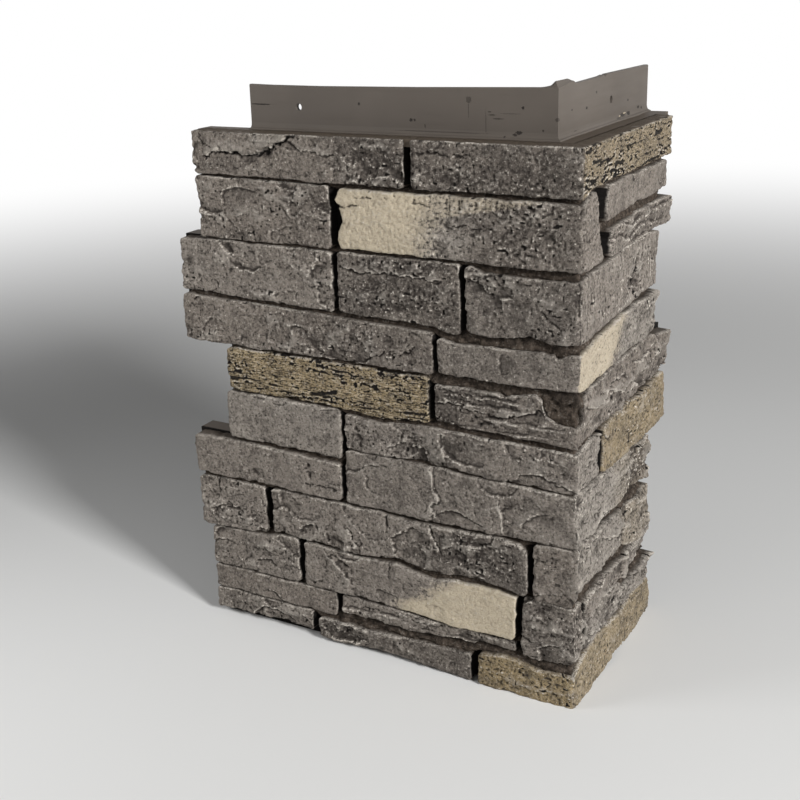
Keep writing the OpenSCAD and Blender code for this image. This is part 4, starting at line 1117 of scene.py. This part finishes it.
class PanelColours(bpy.types.PropertyGroup):
    grey: bpy.props.FloatVectorProperty(name="Grey", description="Most stones", subtype="COLOR", default=(0.197, 0.173, 0.150))
    brown: bpy.props.FloatVectorProperty(name="Brown", description="Warmer stones", subtype="COLOR", default=(0.158, 0.134, 0.113))
    cream: bpy.props.FloatVectorProperty(name="Cream", description="Pale stretches", subtype="COLOR", default=(0.470, 0.403, 0.300))
    tan: bpy.props.FloatVectorProperty(name="Tan", description="Tan stones", subtype="COLOR", default=(0.262, 0.201, 0.114))
    # Pale dry-brush paint, also used as painted highlights on the stones' high spots, brinks and upper edges, and as
    # painted light on their broad high areas
    dry_brush_and_highlight: bpy.props.FloatVectorProperty(name="Dry brush", description="Pale paint on high spots", subtype="COLOR", default=(0.36, 0.33, 0.29))
    # Dark paint in the joints; on the stones' small hollows, broad low areas, pits and deep cracks the same colour is
    # painted shade
    joint: bpy.props.FloatVectorProperty(name="Joint", description="Dark paint in joints and hollows", subtype="COLOR", default=(0.018, 0.015, 0.013))
    strip: bpy.props.FloatVectorProperty(name="Strip", description="Recessed strips in the bed joints", subtype="COLOR", default=(0.058, 0.045, 0.035))
    flange: bpy.props.FloatVectorProperty(name="Flange", description="Nailing flange", subtype="COLOR", default=(0.105, 0.090, 0.077))
    ledge: bpy.props.FloatVectorProperty(name="Ledge", description="Ledge and back", subtype="COLOR", default=(0.084, 0.066, 0.050))


class StageSettings(bpy.types.PropertyGroup):
    floor: bpy.props.FloatVectorProperty(name="Floor", description="Pale floor", subtype="COLOR", default=(0.80, 0.80, 0.79))
    key: bpy.props.FloatProperty(name="Key light", description="Lamp at the right, in watts", default=80.0)
    fill: bpy.props.FloatProperty(name="Fill light", description="Lamp at the front left, in watts", default=1.5)
    sky: bpy.props.FloatProperty(name="Sky", description="Strength of the even light from all round", default=0.115)


class BuildStones(bpy.types.Operator):
    """Builds the split stones, one mesh to a course"""

    bl_idname = "corner_panel.stones"
    bl_label = "Split stones"

    def execute(self, context):
        layout = Layout(context.scene.panel_sizes)
        material = stone_material(context.scene.panel_colours)
        for course in sorted({stone[0] for stone in STONES} - {SPLIT_BED}):
            members = [n for n, stone in enumerate(STONES) if stone[0] == course or (course == 9 and stone[0] == SPLIT_BED)]
            points, quads, tris, masks = join_blocks([stone_block(layout, n) for n in members])
            make_piece(f"stones_course_{course + 1:02d}", points, quads, tris, masks, material)
        return {"FINISHED"}


class BuildJoints(bpy.types.Operator):
    """Builds the recessed strips that fill the bed joints"""

    bl_idname = "corner_panel.joints"
    bl_label = "Bed joints"

    def execute(self, context):
        layout = Layout(context.scene.panel_sizes)
        blocks = []
        for index in list(range(FOOT_BED + 1, TOP_BED)) + [SPLIT_BED]:
            if index == SPLIT_BED:
                start, stop = 34, 166
            else:
                beside = [course for course in COURSES if index in (course[0], course[1])] or [COURSES[0]]
                start, stop = max(c[2] for c in beside) + 2, min(c[3] for c in beside) - 2
            blocks.append(bed_strip(layout, index, start, stop))
        make_piece("bed_joints", *join_blocks(blocks), joint_material(context.scene.panel_colours))
        return {"FINISHED"}


class BuildBacking(bpy.types.Operator):
    """Builds the backing of both wings with the ledge and the lapping recess"""

    bl_idname = "corner_panel.backing"
    bl_label = "Backing"

    def execute(self, context):
        colours = context.scene.panel_colours
        layout = Layout(context.scene.panel_sizes)
        material = moulding_material("moulded_backing", colours.ledge, colours, layout=layout)
        add_piece("backing", backing_mesh(layout), material)
        return {"FINISHED"}


class BuildFlange(bpy.types.Operator):
    """Builds the nailing flange with its nail holes"""

    bl_idname = "corner_panel.flange"
    bl_label = "Nailing flange"

    def execute(self, context):
        colours = context.scene.panel_colours
        mesh = flange_mesh(Layout(context.scene.panel_sizes))
        add_piece("nailing_flange", mesh, moulding_material("moulded_flange", colours.flange, colours, FLANGE_MARKS))
        return {"FINISHED"}


class BuildStage(bpy.types.Operator):
    """Builds the pale floor, the soft lamps, the sky and the camera"""

    bl_idname = "corner_panel.stage"
    bl_label = "Stage"

    def execute(self, context):
        stage = context.scene.panel_stage
        build_floor(stage)
        build_lamp("key_light", stage.key, 0.5, (2.05, -0.88, 1.12))
        build_lamp("fill_light", stage.fill, 0.3, (-0.55, -0.45, 0.45))
        build_sky(stage)
        build_camera(context.scene)
        context.scene.view_settings.view_transform = "Standard"
        return {"FINISHED"}


def build_floor(stage):
    """A floor that fades to plain white far from the panel, for the camera alone."""
    half = 40.0
    mesh = bpy.data.meshes.new("floor")
    mesh.from_pydata([(-half, -half, 0), (half, -half, 0), (half, half, 0), (-half, half, 0)], [], [(0, 1, 2, 3)])
    shader = Shader("pale_floor")
    shader.finish(tinted(stage.floor, 1.0), 0.9)
    length = Value(shader, shader.node("ShaderNodeVectorMath", {"operation": "LENGTH"}, {0: shader.place}).outputs["Value"])
    seen = Value(shader, plain_rays(shader.tree))
    white = shader.node("ShaderNodeEmission", None, {"Color": (1, 1, 1, 1), "Strength": 1.0})
    mix = shader.node("ShaderNodeMixShader", None, {0: length.between(0.7, 2.6) * seen, 1: shader.surface.outputs[0], 2: white.outputs[0]})
    output = next(node for node in shader.tree.nodes if node.type == "OUTPUT_MATERIAL")
    shader.feed(output.inputs["Surface"], mix.outputs[0])
    mesh.materials.append(shader.material)
    floor = bpy.data.objects.new("floor", mesh)
    bpy.context.scene.collection.objects.link(floor)


def build_lamp(name, power, size, place):
    """A square soft lamp that faces the middle of the panel."""
    lamp = bpy.data.lights.new(name, "AREA")
    lamp.energy, lamp.size = power, size
    holder = bpy.data.objects.new(name, lamp)
    middle = np.array([-0.09, 0.02, 0.2])
    holder.location = place
    from mathutils import Vector

    holder.rotation_euler = Vector(middle - np.array(place)).to_track_quat("-Z", "Y").to_euler()
    bpy.context.scene.collection.objects.link(holder)


def plain_rays(tree):
    """A socket that is 1 for the camera's rays, mirrored rays and rays through clear parts."""
    rays = tree.nodes.new("ShaderNodeLightPath")
    seen = rays.outputs["Is Camera Ray"]
    for name in ("Is Glossy Ray", "Is Transmission Ray"):
        larger = tree.nodes.new("ShaderNodeMath")
        larger.operation = "MAXIMUM"
        tree.links.new(seen, larger.inputs[0])
        tree.links.new(rays.outputs[name], larger.inputs[1])
        seen = larger.outputs[0]
    return seen


def build_sky(stage):
    """Even light from all round, seen as plain white."""
    world = bpy.data.worlds.new("studio")
    world.use_nodes = True
    tree = world.node_tree
    background = tree.nodes["Background"]
    seen = plain_rays(tree)
    pick = tree.nodes.new("ShaderNodeMix")
    pick.inputs[2].default_value, pick.inputs[3].default_value = stage.sky, 1.0
    tree.links.new(seen, pick.inputs[0])
    tree.links.new(pick.outputs[0], background.inputs["Strength"])
    background.inputs["Color"].default_value = (1, 1, 1, 1)
    bpy.context.scene.world = world


def build_camera(scene):
    """The photograph's camera: a 54 mm lens, 30 degrees round to the right and 20 degrees up."""
    from mathutils import Matrix

    azimuth, rise, roll = math.radians(29.83), math.radians(19.65), math.radians(-1.79)
    back = np.array([math.sin(azimuth) * math.cos(rise), -math.cos(azimuth) * math.cos(rise), math.sin(rise)])
    right = np.array([math.cos(azimuth), math.sin(azimuth), 0.0])
    up = np.cross(back, right)
    turned_right = math.cos(roll) * right + math.sin(roll) * up
    turned_up = -math.sin(roll) * right + math.cos(roll) * up
    place = np.array([291.3, -712.9, 496.7]) * MM
    matrix = np.eye(4)
    matrix[:3, 0], matrix[:3, 1], matrix[:3, 2], matrix[:3, 3] = turned_right, turned_up, back, place
    data = bpy.data.cameras.new("camera")
    data.lens, data.sensor_width = 54.0, 36.0
    data.clip_start, data.clip_end = 0.01, 100.0
    camera = bpy.data.objects.new("camera", data)
    camera.matrix_world = Matrix(matrix.tolist())
    scene.collection.objects.link(camera)
    scene.camera = camera


class CornerPanelSidebar(bpy.types.Panel):
    """Lists the steps that build the panel, in order"""

    bl_label = "Corner Panel"
    bl_idname = "VIEW3D_PT_corner_panel"
    bl_space_type = "VIEW_3D"
    bl_region_type = "UI"
    bl_category = "Corner Panel"

    def draw(self, context):
        for step in STEPS:
            self.layout.operator(step.bl_idname)
        for group in (context.scene.panel_sizes, context.scene.panel_colours, context.scene.panel_stage):
            for name in group.__annotations__:
                self.layout.prop(group, name)


STEPS = (BuildBacking, BuildFlange, BuildJoints, BuildStones, BuildStage)
CLASSES = (PanelSizes, PanelColours, StageSettings, *STEPS, CornerPanelSidebar)


def register():
    for item in CLASSES:
        bpy.utils.register_class(item)
    bpy.types.Scene.panel_sizes = bpy.props.PointerProperty(type=PanelSizes)
    bpy.types.Scene.panel_colours = bpy.props.PointerProperty(type=PanelColours)
    bpy.types.Scene.panel_stage = bpy.props.PointerProperty(type=StageSettings)


def unregister():
    del bpy.types.Scene.panel_stage, bpy.types.Scene.panel_colours, bpy.types.Scene.panel_sizes
    for item in reversed(CLASSES):
        bpy.utils.unregister_class(item)


def main():
    register()
    bpy.ops.corner_panel.backing()
    bpy.ops.corner_panel.flange()
    bpy.ops.corner_panel.joints()
    bpy.ops.corner_panel.stones()
    bpy.ops.corner_panel.stage()


if __name__ == "__main__":
    main()
